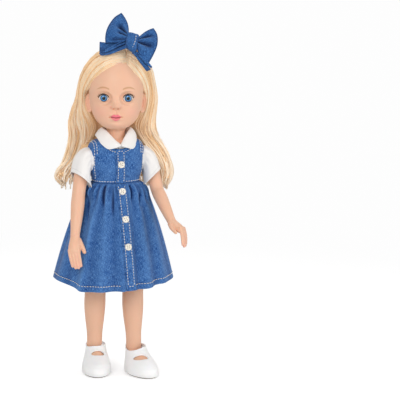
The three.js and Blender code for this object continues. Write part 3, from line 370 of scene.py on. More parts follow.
# Washed cotton twill: blue warp over pale weft, so diagonal ribs with pale flecks between them. The
# weave is drawn at 2 mm, about three times its real size, as coarse as it needs to show.
def makeDenim(name, light, mid, dark):
    material, tree, shader = newMaterial(name,
        **{"Roughness": 0.85, "Sheen Weight": 0.12, "Sheen Roughness": 0.5, "Specular IOR Level": 0.22})
    cloth = addNode(tree, "UVMap", uv_map="UVMap").outputs[0]  # u and v are millimetres of cloth
    turnedCloth = addNode(tree, "Mapping", {"Rotation": (0, 0, math.radians(63))},
        {"Vector": cloth}).outputs[0]
    ribs = addNode(tree, "TexWave", {"Scale": 0.155, "Distortion": 1.4, "Detail": 2.0, "Detail Scale": 1.6},
        {"Vector": turnedCloth}, wave_type="BANDS", bands_direction="X")
    threads = addNode(tree, "Mapping", {"Scale": (1.5, 0.42, 1.0)}, {"Vector": cloth}).outputs[0]
    fleck = addNode(tree, "TexNoise", {"Scale": 0.80, "Detail": 3.0, "Roughness": 0.7}, {"Vector": threads})
    wash = addNode(tree, "TexNoise", {"Scale": 0.09, "Detail": 3.0, "Roughness": 0.6}, {"Vector": cloth})
    base = ramp(tree, fleck.outputs[0], [(0.36, dark), (0.50, mid), (0.62, light)])
    base = blendColour(tree, addNode(tree, "Math", {1: 0.34}, {0: ribs.outputs[1]},
            operation="MULTIPLY").outputs[0], base, dark)
    washed = addNode(tree, "MapRange", {1: 0.35, 2: 0.75, 3: 0.0, 4: 0.4}, {0: wash.outputs[0]}).outputs[0]
    base = blendColour(tree, washed, base, light)
    # Painted shade: the shade mark darkens folds, grooves and seams. The next mark lightens worn edges,
    # which is real wear, and the crests of folds, ridges and domes, which is painted highlight.
    base = blendColour(tree, mark(tree, "shade"), base, dark)
    base = blendColour(tree, mark(tree, "wearAndHighlight"), base, light)
    tree.links.new(base, shader.inputs["Base Color"])
    height = addNode(tree, "Math", links={0: ribs.outputs[1], 1: fleck.outputs[0]},
        operation="ADD").outputs[0]
    bump = addNode(tree, "Bump", {"Strength": 0.45, "Distance": 0.0004}, {"Height": height})
    tree.links.new(bump.outputs[0], shader.inputs["Normal"])
    return material


# Fine plain-woven cotton, bleached white: a matt, faintly threaded surface, with painted shade that
# greys it in its folds, pleats and seam lines.
def makeCotton():
    material, tree, shader = newMaterial("whiteCotton",
        **{"Roughness": 0.9, "Sheen Weight": 0.15, "Specular IOR Level": 0.2})
    cloth = addNode(tree, "UVMap", uv_map="UVMap").outputs[0]
    warp = addNode(tree, "TexWave", {"Scale": 0.5, "Distortion": 0.6, "Detail": 1.0}, {"Vector": cloth},
        bands_direction="X")
    weft = addNode(tree, "TexWave", {"Scale": 0.5, "Distortion": 0.6, "Detail": 1.0}, {"Vector": cloth},
        bands_direction="Y")
    weave = addNode(tree, "Math", links={0: warp.outputs[1], 1: weft.outputs[1]},
        operation="MULTIPLY").outputs[0]
    tone = blendColour(tree, addNode(tree, "Math", {1: 0.35}, {0: weave}, operation="MULTIPLY").outputs[0],
        "#f1efed", "#e7e5e3")
    tone = blendColour(tree, mark(tree, "shade"), tone, "#cdcbcd")
    tree.links.new(tone, shader.inputs["Base Color"])
    bump = addNode(tree, "Bump", {"Strength": 0.22, "Distance": 0.0002}, {"Height": weave})
    tree.links.new(bump.outputs[0], shader.inputs["Normal"])
    return material


# Cream polyester top-stitching thread, twisted: soft sheen with tiny diagonal plies.
def makeThread():
    material, tree, shader = newMaterial("stitchThread", **{"Roughness": 0.6, "Sheen Weight": 0.2})
    place = addNode(tree, "TexCoord").outputs["Object"]
    ply = addNode(tree, "TexNoise", {"Scale": 900.0, "Detail": 1.0}, {"Vector": place})
    tree.links.new(ramp(tree, ply.outputs[0], [(0.3, "#d9d3c8"), (0.7, "#f6f1e8")]),
        shader.inputs["Base Color"])
    return material


# Moulded plastic: two close tones in soft clouds, and a fine grain from the mould. tones are two hex
# values, grain is in millimetres.
def makePlainPlastic(name, tones, roughness, grain, coat=0.0, sub=0.0):
    material, tree, shader = newMaterial(name, **{"Roughness": roughness, "Coat Weight": coat,
            "Coat Roughness": 0.12, "Subsurface Weight": sub, "Subsurface Scale": 0.002})
    place = addNode(tree, "TexCoord").outputs["Object"]
    cloud = addNode(tree, "TexNoise", {"Scale": 90.0, "Detail": 2.0}, {"Vector": place})
    tone = ramp(tree, cloud.outputs[0], [(0.3, tones[0]), (0.7, tones[1])])
    tree.links.new(blendColour(tree, mark(tree, "shade"), tone, "#7d705f"), shader.inputs["Base Color"])
    fine = addNode(tree, "TexNoise", {"Scale": 1000.0 / grain, "Detail": 2.0}, {"Vector": place})
    bump = addNode(tree, "Bump", {"Strength": 0.06, "Distance": 0.0003}, {"Height": fine.outputs[0]})
    tree.links.new(bump.outputs[0], shader.inputs["Normal"])
    return material


# Cast acrylic eye: a white ball with a printed blue iris under a clear, highly polished dome. u is
# the distance from the pupil's middle in millimetres, v the turn.
def makeEyePrint():
    material, tree, shader = newMaterial("eyeAcrylic",
        **{"Roughness": 0.12, "Coat Weight": 0.15, "Coat Roughness": 0.03, "IOR": 1.45})
    spot = addNode(tree, "SeparateXYZ", links={0: addNode(tree, "UVMap", uv_map="UVMap").outputs[0]})
    radius, turn = spot.outputs[0], spot.outputs[1]
    rays = addNode(tree, "CombineXYZ",
        links={0: addNode(tree, "Math", {1: 0.35}, {0: radius}, operation="MULTIPLY").outputs[0],
            1: addNode(tree, "Math", {1: 46.0}, {0: turn}, operation="MULTIPLY").outputs[0]})
    streak = addNode(tree, "TexNoise", {"Scale": 1.0, "Detail": 2.0}, {"Vector": rays.outputs[0]})
    share = addNode(tree, "Math", {1: 8.0}, {0: radius}, operation="DIVIDE").outputs[0]
    iris = ramp(tree, share, [(0.0, "#04060a"), (0.215, "#03050a"), (0.240, "#0a2550"), (0.28, "#3f9fe2"),
            (0.33, "#0f63b2"), (0.375, "#0c4486"), (0.405, "#061c40"), (0.465, "#05132c"),
            (0.49, "#f0eeec")])
    iris.node.color_ramp.interpolation = "EASE"
    inRays = addNode(tree, "Math", {1: 3.4}, {0: radius}, operation="LESS_THAN").outputs[0]
    outPupil = addNode(tree, "Math", {1: 1.5}, {0: radius}, operation="GREATER_THAN").outputs[0]
    where = addNode(tree, "Math", links={0: inRays, 1: outPupil}, operation="MULTIPLY").outputs[0]
    light = addNode(tree, "MapRange", {1: 0.45, 2: 0.75, 3: 0.0, 4: 0.55},
        {0: streak.outputs[0]}).outputs[0]
    amount = addNode(tree, "Math", links={0: where, 1: light}, operation="MULTIPLY").outputs[0]
    tree.links.new(blendColour(tree, amount, iris, "#a9dcf7"), shader.inputs["Base Color"])
    return material


# Rooted nylon strands: pale blond with a silky sheen. Every strand has its own tone, which also
# carries painted highlights and shade. The deep mark paints shade in golden brown, and a faint warm
# glow stands in for light passing through the hair.
def makeHair():
    material, tree, shader = newMaterial("hairNylon", **{"Roughness": 0.40, "Specular IOR Level": 0.35,
            "Sheen Weight": 0.1, "Emission Color": linearColour("#ffd9ae"), "Emission Strength": 0.11})
    tone = ramp(tree, mark(tree, "tone"), [(0.0, "#cf9557"), (0.3, "#f0c48e"), (0.6, "#fce2bd"),
            (1.0, "#fff8ea")])
    tone = blendColour(tree, mark(tree, "deep"), tone, "#cc9355")
    spot = addNode(tree, "UVMap", uv_map="UVMap").outputs[0]
    grain = addNode(tree, "Mapping", {"Scale": (14.0, 0.05, 1.0)}, {"Vector": spot}).outputs[0]
    streak = addNode(tree, "TexNoise", {"Scale": 1.0, "Detail": 3.0}, {"Vector": grain})
    amount = addNode(tree, "MapRange", {1: 0.42, 2: 0.66, 3: 0.0, 4: 0.45},
        {0: streak.outputs[0]}).outputs[0]
    tree.links.new(blendColour(tree, amount, tone, "#dcae78"), shader.inputs["Base Color"])
    bump = addNode(tree, "Bump", {"Strength": 0.5, "Distance": 0.0003}, {"Height": streak.outputs[0]})
    tree.links.new(bump.outputs[0], shader.inputs["Normal"])
    return material


# Pressed spring steel: bright, brushed along its length, with fine scratches.
def makeSteel():
    material, tree, shader = newMaterial("clipSteel", **{"Metallic": 1.0, "Roughness": 0.32})
    place = addNode(tree, "TexCoord").outputs["Object"]
    scratch = addNode(tree, "TexNoise", {"Scale": 1.0, "Detail": 2.0},
        {"Vector": addNode(tree, "Mapping", {"Scale": (120, 2500, 2500)}, {"Vector": place}).outputs[0]})
    tree.links.new(ramp(tree, scratch.outputs[0], [(0.3, "#9fa3a8"), (0.7, "#cfd2d6")]),
        shader.inputs["Base Color"])
    return material


vinyl = makeVinyl()
denim = makeDenim("washedDenim", "#6292cb", "#2d61a5", "#10356f")
bowDenim = makeDenim("bowDenim", "#4a7dba", "#235796", "#0e2d5c")
cotton = makeCotton()
thread = makeThread()
hairNylon = makeHair()
eyeAcrylic = makeEyePrint()
lashFibre = makePlainPlastic("lashFibre", ("#2a1a12", "#3a251a"), 0.6, 0.4)
shoeVinyl = makePlainPlastic("shoeVinyl", ("#fafafa", "#fdfdfd"), 0.42, 0.8, sub=0.05)
soleRubber = makePlainPlastic("soleRubber", ("#c9c7c4", "#d8d6d3"), 0.6, 0.6)
buttonPlastic = makePlainPlastic("buttonPlastic", ("#efe9db", "#f6f2e8"), 0.25, 1.2, coat=0.4)
plugPlastic = makePlainPlastic("plugPlastic", ("#e2ded3", "#ebe7dd"), 0.5, 0.8)
clipSteel = makeSteel()
print("materials made")


# Camera, light and floor

view = {"azimuth": -16.93, "distance": 2.0, "height": 0.5547, "pitch": 10.396, "pan": 2.597, "roll": 0.834,
    "lens": 170.72}
lights = {"key": {"at": (-1.3, -2.0, 1.35), "size": 1.3, "power": 26.5},
    "fill": {"at": (1.7, -1.7, 0.75), "size": 1.6, "power": 18.0},
    "top": {"at": (0.1, 0.6, 2.1), "size": 1.4, "power": 10.0}}


def makeCamera():
    azimuth, pitch, pan, roll = (math.radians(view[key]) for key in ("azimuth", "pitch", "pan", "roll"))
    back = np.array([math.sin(azimuth), -math.cos(azimuth), 0])
    side = np.array([math.cos(azimuth), math.sin(azimuth), 0])
    spot = dollAxis / 1000 + back * view["distance"] + np.array([0, 0, view["height"]])
    level = -back * math.cos(pan) + side * math.sin(pan)
    ahead = np.array([*(level[:2] * math.cos(pitch)), -math.sin(pitch)])
    right = unit(np.cross(ahead, [0, 0, 1]))
    up = np.cross(right, ahead)
    right, up = right * math.cos(roll) + up * math.sin(roll), up * math.cos(roll) - right * math.sin(roll)
    data = bpy.data.cameras.new("camera")
    data.lens, data.sensor_width, data.clip_end = view["lens"], 36.0, 50.0
    camera = bpy.data.objects.new("camera", data)
    bpy.context.scene.collection.objects.link(camera)
    columns = [right, up, -ahead, spot]
    camera.matrix_world = Matrix([[*(column[i] for column in columns)] for i in range(3)] + [[0, 0, 0, 1]])
    bpy.context.scene.camera = camera


def makeLights():
    middle = Vector((0, 0, 0.2))
    for name, values in lights.items():
        data = bpy.data.lights.new(name, "AREA")
        data.size, data.energy = values["size"], values["power"]
        lamp = bpy.data.objects.new(name, data)
        lamp.location = values["at"]
        lamp.rotation_mode = "QUATERNION"
        lamp.rotation_quaternion = (middle - lamp.location).to_track_quat("-Z", "Y")
        bpy.context.scene.collection.objects.link(lamp)
    world = bpy.data.worlds.new("studio")
    bpy.context.scene.world = world
    world.use_nodes = True
    tree = world.node_tree
    ground = tree.nodes["Background"]
    ground.inputs["Color"].default_value = linearColour("#fbf9f7")
    ground.inputs["Strength"].default_value = 0.50
    white = addNode(tree, "Background", {"Color": (1, 1, 1, 1), "Strength": 0.985})
    path = addNode(tree, "LightPath")
    seen = addNode(tree, "Math", links={0: path.outputs["Is Camera Ray"], 1: path.outputs["Is Glossy Ray"]},
        operation="MAXIMUM")
    seen = addNode(tree, "Math", links={0: seen.outputs[0], 1: path.outputs["Is Transmission Ray"]},
        operation="MAXIMUM")
    both = addNode(tree, "MixShader", links={0: seen.outputs[0], 1: ground.outputs[0], 2: white.outputs[0]})
    tree.links.new(both.outputs[0], tree.nodes["World Output"].inputs["Surface"])


# A wide pale floor. Where no shadow falls the camera sees it as plain white paper.
def makeFloor():
    half = 6000.0
    grid = np.stack(np.meshgrid([-half, half], [-half, half]), axis=-1)
    points = np.concatenate([grid, np.zeros((2, 2, 1))], axis=-1)
    floor = surface("floor", points)
    material, tree, shader = newMaterial("paperFloor", **{"Roughness": 0.9, "Specular IOR Level": 0.0})
    shader.inputs["Base Color"].default_value = linearColour("#f2f2f2")
    glow = addNode(tree, "Emission", {"Color": (1, 1, 1, 1), "Strength": 0.40})
    lit = addNode(tree, "AddShader", links={0: shader.outputs[0], 1: glow.outputs[0]})
    paper = addNode(tree, "Emission", {"Color": (1, 1, 1, 1), "Strength": 0.985})
    place = addNode(tree, "TexCoord").outputs["Object"]
    away = addNode(tree, "VectorMath", links={0: place}, operation="LENGTH").outputs["Value"]
    far = addNode(tree, "MapRange", {1: 0.10, 2: 0.75, 3: 0.0, 4: 1.0}, {0: away},
        interpolation_type="SMOOTHSTEP")
    seen = addNode(tree, "MixShader", links={0: far.outputs[0], 1: lit.outputs[0], 2: paper.outputs[0]})
    path = addNode(tree, "LightPath")
    choose = addNode(tree, "MixShader", links={0: path.outputs["Is Camera Ray"], 1: shader.outputs[0],
            2: seen.outputs[0]})
    tree.links.new(choose.outputs[0], tree.nodes["Material Output"].inputs["Surface"])
    floor.data.materials.append(material)


bpy.context.scene.view_settings.view_transform = "Standard"
makeCamera()
makeLights()
makeFloor()
print("camera, light and floor made")


# Head

face = {"eyeX": 12.75, "eyeZ": 300.2, "eyeRadius": 8.0, "eyeY": -20.6, "eyeHalfWidth": 5.1, "upperLid": 4.2,
    "lowerLid": 3.7, "mouthZ": 280.1, "mouthHalf": 6.1, "noseZ": 292.4, "browLow": 309.2, "browHigh": 311.6}
headRows = np.array([  # height, half width, half depth, middle
        (252.3, 9.8, 9.8, 0), (259, 9.8, 9.8, 0.2), (263.6, 10.2, 10.4, 0), (266.2, 11.4, 13.6, -5.0),
        (268.2, 14.4, 17.0, -6.4), (271, 18.0, 20.6, -6.2), (274.5, 21.2, 24.0, -4.6),
        (280.5, 24.5, 27.8, -2.2), (289, 27.1, 30.6, -0.4), (301, 28.7, 32, 0), (313, 28.8, 32, 0),
        (325, 26.4, 29.8, 0), (336, 19.7, 22.4, 0), (342, 11.5, 13.0, 0), (345, 1, 1, 0)])


def headShape(z):
    fine = spline(headRows, 1200)
    return [np.interp(z, fine[:, 0], fine[:, k]) for k in (1, 2, 3)]


# Below 1 inside the eye opening: a level of an oval whose upper and lower halves have their own
# height.
def lidLevel(x, z):
    u = (np.abs(x) - face["eyeX"]) / face["eyeHalfWidth"]
    rise = z - face["eyeZ"] - 0.25 * u
    w = np.where(rise > 0, rise / face["upperLid"], rise / face["lowerLid"])
    return np.abs(u) ** 2.1 + np.abs(w) ** 2.0


# How much of a point is lip, and how near it lies to the line between the lips.
def lipShape(x, z):
    t = np.clip(np.abs(x) / face["mouthHalf"], 0, 1)
    line = face["mouthZ"] - 0.35 * np.exp(-(x / 1.4) ** 2) + 0.35 * t**2
    top = line + 4.0 * (1 - t**1.9) * (1 - 0.2 * np.exp(-(x / 0.95) ** 2)) - 0.15
    bottom = line - 3.5 * np.clip(1 - (np.abs(x) / 5.1) ** 2.2, 0, 1) ** 0.75
    lip = (smoothstep(top - z, -0.12, 0.25) * smoothstep(z - bottom, -0.12, 0.25) * smoothstep(np.abs(x),
            5.9, 5.3))
    near = bell(z, line, 0.6) * smoothstep(np.abs(x), 7.3, 6.0)
    return lip, near, line


def browShape(x, z):
    a = np.abs(x)
    middle = face["browLow"] + (face["browHigh"] - face["browLow"]) * (1 - ((a - 13.0) / 6.9) ** 2) ** 1
    thick = 0.62 * smoothstep(a, 20.2, 15.5) + 0.24
    window = smoothstep(a, 6.6, 7.8) * smoothstep(a, 20.3, 19.4)
    hairs = 0.75 + 0.25 * np.sin(a * 9 + z * 5)
    return bell(z, middle, thick) * window * hairs * 0.95


def makeHead():
    dense = np.linspace(-0.80, 0.80, 250)
    side = np.linspace(0.80, 2 * math.pi - 0.80, 130)[1:-1]
    turn = np.concatenate([dense, side])
    bands = ((252.3, 264, 14), (264, 274, 32), (274, 288, 60), (288, 294, 24), (294, 307, 74),
        (307, 314, 30), (314, 344.9, 34))
    z = np.concatenate([np.linspace(low, high, count)[:-1] for low, high, count in bands] + [[344.9]])
    a, b, middle = headShape(z)
    a, b, middle, z = a[:, None], b[:, None], middle[:, None], z[:, None]
    # the face is a little flatter than an oval
    flat = 2 + 0.28 * smoothstep(z, 266, 276) * smoothstep(z, 326, 312)
    x = a * np.sin(turn)
    front = np.maximum(np.cos(turn), 0)
    deep = np.where(np.cos(turn) > 0, np.clip(1 - np.abs(x / a) ** flat, 0, 1) ** (1 / flat), np.cos(turn))
    y = middle - b * deep
    x = np.broadcast_to(x, y.shape)
    z = np.broadcast_to(z, y.shape)
    gauss = lambda cx, cz, sx, sz: np.exp(-((x - cx) / sx) ** 2 / 2 - ((z - cz) / sz) ** 2
        / 2) * (front > 0.05)
    pair = lambda cx, cz, sx, sz: gauss(cx, cz, sx, sz) + gauss(-cx, cz, sx, sz)
    lip, near, line = lipShape(x, z)
    lip, near = lip * (front > 0.3), near * (front > 0.3)
    mouth = face["mouthZ"]
    nose = face["noseZ"]
    out = (1.2 * pair(16, mouth + 4.5, 6.5, 6) + 1.8 * gauss(0, 271, 5.5, 3.6)
        - 0.7 * gauss(0, mouth - 5.2, 5, 1.4))
    growth = smoothstep(z, nose + 13.4, nose + 0.9) * smoothstep(z, nose - 4.4, nose - 0.3)
    out += 3.5 * growth**1.2 * np.exp(-(x / mix(1.9, 3.1, growth)) ** 2 / 2) * (front > 0.1)
    out += (2.9 * gauss(0, nose + 0.2, 2.0, 1.8) + 2.3 * pair(3.9, nose - 1.2, 1.25, 1.4)
        - 1.3 * pair(2.4, nose - 3.2, 0.75, 0.5))
    out += -0.5 * gauss(0, mouth + 5.7, 0.9, 1.7) + 0.35 * pair(1.7, mouth + 5.5, 0.8, 1.7)
    out += (1.5 * gauss(0, mouth + 2.1, 4.2, 1.5) + 1.9 * gauss(0, mouth - 1.8, 3.6, 1.6) + 0.55 * lip
        - 1.1 * near * (front > 0.3))
    out -= 0.5 * pair(6.6, mouth + 0.3, 0.9, 0.9)
    y = y - out
    # Lids hug the eyeball, and the opening drops behind it
    u, w = np.abs(x) - face["eyeX"], z - face["eyeZ"]
    lidBall = face["eyeY"] - np.sqrt(np.maximum(9.0**2 - u**2 - w**2, 4))
    around = smoothstep(np.sqrt((u / 8.6) ** 2 + (w / 7.4) ** 2), 1.12, 0.62) * (front > 0.2)
    y = mix(y, lidBall, around)
    level = lidLevel(x, z)
    rim = bell(level, 1.16, 0.16) * (front > 0.2)
    y = y - 0.28 * rim
    opening = smoothstep(level, 1.06, 0.90) * (front > 0.2)
    y = y + 5.2 * opening
    points = turned(np.stack([x, y, z], axis=-1))
    hard = (front > 0.3)
    lid = (hard * smoothstep(level, 1.24, 1.10) * smoothstep(w, 0.2, 1.4) * 0.9
        + hard * smoothstep(level, 1.12, 1.02) * 0.40)
    marks = {"lip": lip * mix(0.80, 0.97, smoothstep(z - line, -0.3, 0.5)), "lipLine": near,
        "brow": browShape(x, z) * hard, "lid": np.clip(lid, 0, 1),
        "blush": 0.30 * pair(17, mouth + 5, 5.5, 5) + 0.10 * gauss(0, 271, 6, 3)
        + 0.16 * pair(5.2, nose - 1.6, 1.0, 1.6) + 0.12 * gauss(0, nose - 0.5, 3, 2),
        "nostril": np.clip(pair(2.5, nose - 3.0, 0.62, 0.45) + 0.25 * pair(5.1, nose - 1.6, 0.5, 1.1)
            + 0.5 * pair(6.4, mouth + 0.1, 0.8, 0.35), 0, 1)}
    head = surface("headVinyl", points, wrap=True, caps=("first", "last"), marks=marks)
    dress(head, vinyl, "head", ["head"])


# Each eye is a ball whose front bulges like a lens. Polar grid: angle from the eye's axis by turn
# about it.
def makeEyes():
    for name, sign in signs.items():
        reach = np.concatenate([np.linspace(0.004, 0.62, 60),
                np.linspace(0.66, math.pi - 0.01, 30)])[:, None]
        turn = wholeTurn(96)
        radius = face["eyeRadius"] + 0.45 * np.clip(1 - (reach / 0.55) ** 2, 0, 1)
        x = radius * np.sin(reach) * np.cos(turn)
        z = radius * np.sin(reach) * np.sin(turn)
        y = -radius * np.cos(reach) * np.ones_like(turn)
        centre = np.array([sign * face["eyeX"], face["eyeY"], face["eyeZ"] - 0.15])
        points = turned(np.stack([x, y, z], axis=-1) + centre)
        along = np.broadcast_to(reach * face["eyeRadius"], (len(reach), 97))
        around = np.broadcast_to(np.linspace(0, 1, 97), along.shape)
        ball = surface(name + "Eye", points, wrap=True, caps=("first", "last"),
            uv=np.stack([along, around], axis=-1))
        dress(ball, eyeAcrylic, "head", [name + "_eyeball", name + "_iris", name + "_cornea"])


# A thin dark band along the upper lid, and lashes that curl up and out from it, longest at the outer
# corner.
def makeLashes():
    rng = np.random.default_rng(4)
    for name, sign in signs.items():
        def lidEdge(t, out):
            # t runs from the inner corner to the outer, out is how far beyond the opening's edge
            angle = math.pi * (1 - t)
            u = (face["eyeHalfWidth"] + out) * np.cos(angle)
            w = (face["upperLid"] + out) * np.abs(np.sin(angle)) ** 0.96 + 0.25 * u / face["eyeHalfWidth"]
            y = face["eyeY"] - np.sqrt(np.maximum(8.9**2 - u**2 - w**2, 2)) - 0.35
            return np.stack([sign * (face["eyeX"] + u), y, face["eyeZ"] + w], axis=-1)
        t = np.linspace(0.06, 0.985, 60)
        band = tubes(name + "LidBand", lidEdge(t, 0.12)[None],
            0.46 * np.sin(np.pi * np.clip(t, 0.02, 0.98)) ** 0.4 + 0.05, sides=8)
        count = 34
        at = np.linspace(0.2, 0.99, count) + rng.normal(0, 0.004, count)
        root = lidEdge(at, 0.15)
        length = (0.8 + 2.1 * at**2.2) * rng.uniform(0.85, 1.1, count)
        away = np.stack([sign * (0.1 + 0.95 * (at - 0.25)), -0.75 - 0 * at, 0.30
                + 0.45 * np.sin(np.pi * at)], axis=-1)
        step = np.linspace(0, 1, 9)[:, None, None]
        path = (root + unit(away) * length[:, None] * step + np.array([0, 0.0, 0.55])
            * (length[:, None] * step**2) * 0.6)
        hairs = tubes(name + "LashHairs", np.swapaxes(path, 0, 1), 0.12 * (1 - np.linspace(0, 1, 9) ** 1.5)
            + 0.02, sides=5)
        both = joined(name + "Lashes", [band, hairs])
        mesh = both.data
        co = np.zeros(len(mesh.vertices) * 3)
        mesh.vertices.foreach_get("co", co)
        shifted = turned(co.reshape(-1, 3) * 1000 - dollAxis) + dollAxis
        mesh.vertices.foreach_set("co", (shifted / 1000).ravel())
        dress(both, lashFibre, "head", [name + "_lashes"])


ear = {"x": 27.9, "y": 2.0, "z": 291.6, "half": (5.6, 10.4), "out": 0.70}


# An oval plate with a raised C-shaped rim, an inner fold and a bowl. r runs from the middle of the
# front round the rim to the middle of the back.
def makeEars():
    for name, sign in signs.items():
        r = np.concatenate([np.linspace(0.01, 1, 46), np.linspace(1, 0.02, 14)[1:]])[:, None]
        onFront = (np.arange(len(r)) < 46)[:, None]
        turn = wholeTurn(96)
        across, up = r * np.cos(turn), r * np.sin(turn)
        rim = bell(r, 0.86, 0.12) * smoothstep(np.cos(turn) + 0.35 * np.sin(turn), -0.75, 0.1)
        inner = (bell(r, 0.50, 0.10) * smoothstep(np.cos(turn), -0.2, 0.5) * smoothstep(np.sin(turn), 0.95,
                0.4) * 0.75)
        flap = np.exp(-((across + 0.62) / 0.16) ** 2 - ((up + 0.12) / 0.2) ** 2) * 0.8
        lobe = np.exp(-((up + 0.85) / 0.2) ** 2 - (across / 0.5) ** 2) * 0.5
        height = np.where(onFront, 1.7 * rim + 1.5 * inner + 1.3 * flap + 1.2 * lobe
            - 1.1 * np.exp(-(r / 0.42) ** 2), -1.6 * np.sqrt(np.clip(1 - r**2, 0, 1)))
        width = ear["half"][0] * (1 + 0.16 * up - 0.10 * up**2)
        place = np.stack([width * across * ear["out"], width * across * 0.72, ear["half"][1] * up], axis=-1)
        normal = np.array([0.74, -0.67, 0.0])
        points = place + height[..., None] * normal
        points[..., 1] += 0.16 * points[..., 2]
        points = points + np.array([ear["x"], ear["y"], ear["z"]])
        points[..., 0] *= sign
        piece = surface(name + "Ear", turned(points), wrap=True, caps=("first", "last"),
            marks={"blush": np.broadcast_to(0.25 * np.exp(-(r / 0.5) ** 2) * onFront, across.shape)},
            flip=sign < 0)
        dress(piece, vinyl, "head")


makeHead()
makeEyes()
makeLashes()
makeEars()
print("head made")


# Body and limbs

bodyRows = np.array([  # height, half width, half depth, squareness
        (153, 16.2, 10.2, 2), (159, 23.2, 14.6, 2), (169, 27, 17, 2.3), (184.4, 26.5, 16.7, 2.3),
        (208, 23, 15.5, 2.3), (220, 25.5, 17, 2.4), (236, 28.0, 15.4, 2.5), (245, 27.2, 13.6, 2.5),
        (249.6, 24.0, 12.2, 2.4), (252.2, 17.6, 11.2, 2.2), (253.4, 11.6, 10.4, 2), (253.8, 9.8, 9.8, 2)])


# A point of the torso's skin at a height and turn, moved outward. Squared ovals: |x/a|^n + |y/b|^n =
# 1.
def torsoRing(z, turn, grow=0.0):
    fine = spline(bodyRows, 400)
    order = np.argsort(fine[:, 0])
    a, b, n = (np.interp(z, fine[order, 0], fine[order, k]) for k in (1, 2, 3))
    c, s = np.cos(turn), np.sin(turn)
    x = (a + grow) * np.sign(c) * np.abs(c) ** (2 / n)
    y = (b + grow) * np.sign(s) * np.abs(s) ** (2 / n)
    return np.stack(np.broadcast_arrays(x, y, z), axis=-1)


def makeTorso():
    z = np.concatenate([np.linspace(153.2, 244, 70), np.linspace(245, 253.7, 24)])[:, None]
    points = torsoRing(z, wholeTurn(96))
    dress(surface("torsoVinyl", points, wrap=True, caps=("first", "last")), vinyl, "torso", ["torso"])


# A skin over smooth rings. Each stop: middle, half width, half thickness, broad direction.
def limbSurface(name, stops, around=72, lengthwise=120):
    middle = spline([s[0] for s in stops], lengthwise)
    size = spline([(s[1], s[2]) for s in stops], lengthwise)
    broad = unit(spline([s[3] for s in stops], lengthwise))
    along = unit(np.gradient(middle, axis=0))
    thin = unit(np.cross(along, broad))
    broad = np.cross(thin, along)
    turn = np.linspace(0, 2 * math.pi, around + 1)[:-1, None]
    points = (middle[:, None] + size[:, None, :1] * np.cos(turn) * broad[:, None]
        + size[:, None, 1:] * np.sin(turn) * thin[:, None])
    return surface(name, points, wrap=True, caps=("first", "last"))


arms = {"right": {"upper": (10.6, 14), "fore": (11, 23), "palm": (10, 30), "fingers": (-6, 20),
        "thumb": 28}, "left": {"upper": (10, 22), "fore": (5, 53), "palm": (22, 64), "fingers": (3, 20),
        "thumb": 50}}
armSize = {"upper": 38.0, "fore": 46.0, "palm": 18.0, "fingers": 16.0}


def armPath(name, sign):
    spot = np.array([sign * 36.5, 0, 232.0])
    stops = [spot]
    for part in ("upper", "fore", "palm", "fingers"):
        out, ahead = (math.radians(v) for v in arms[name][part])
        way = np.array([sign * math.sin(out), -math.cos(out) * math.sin(ahead),
                -math.cos(out) * math.cos(ahead)])
        spot = spot + way * armSize[part]
        stops.append(spot)
    return stops


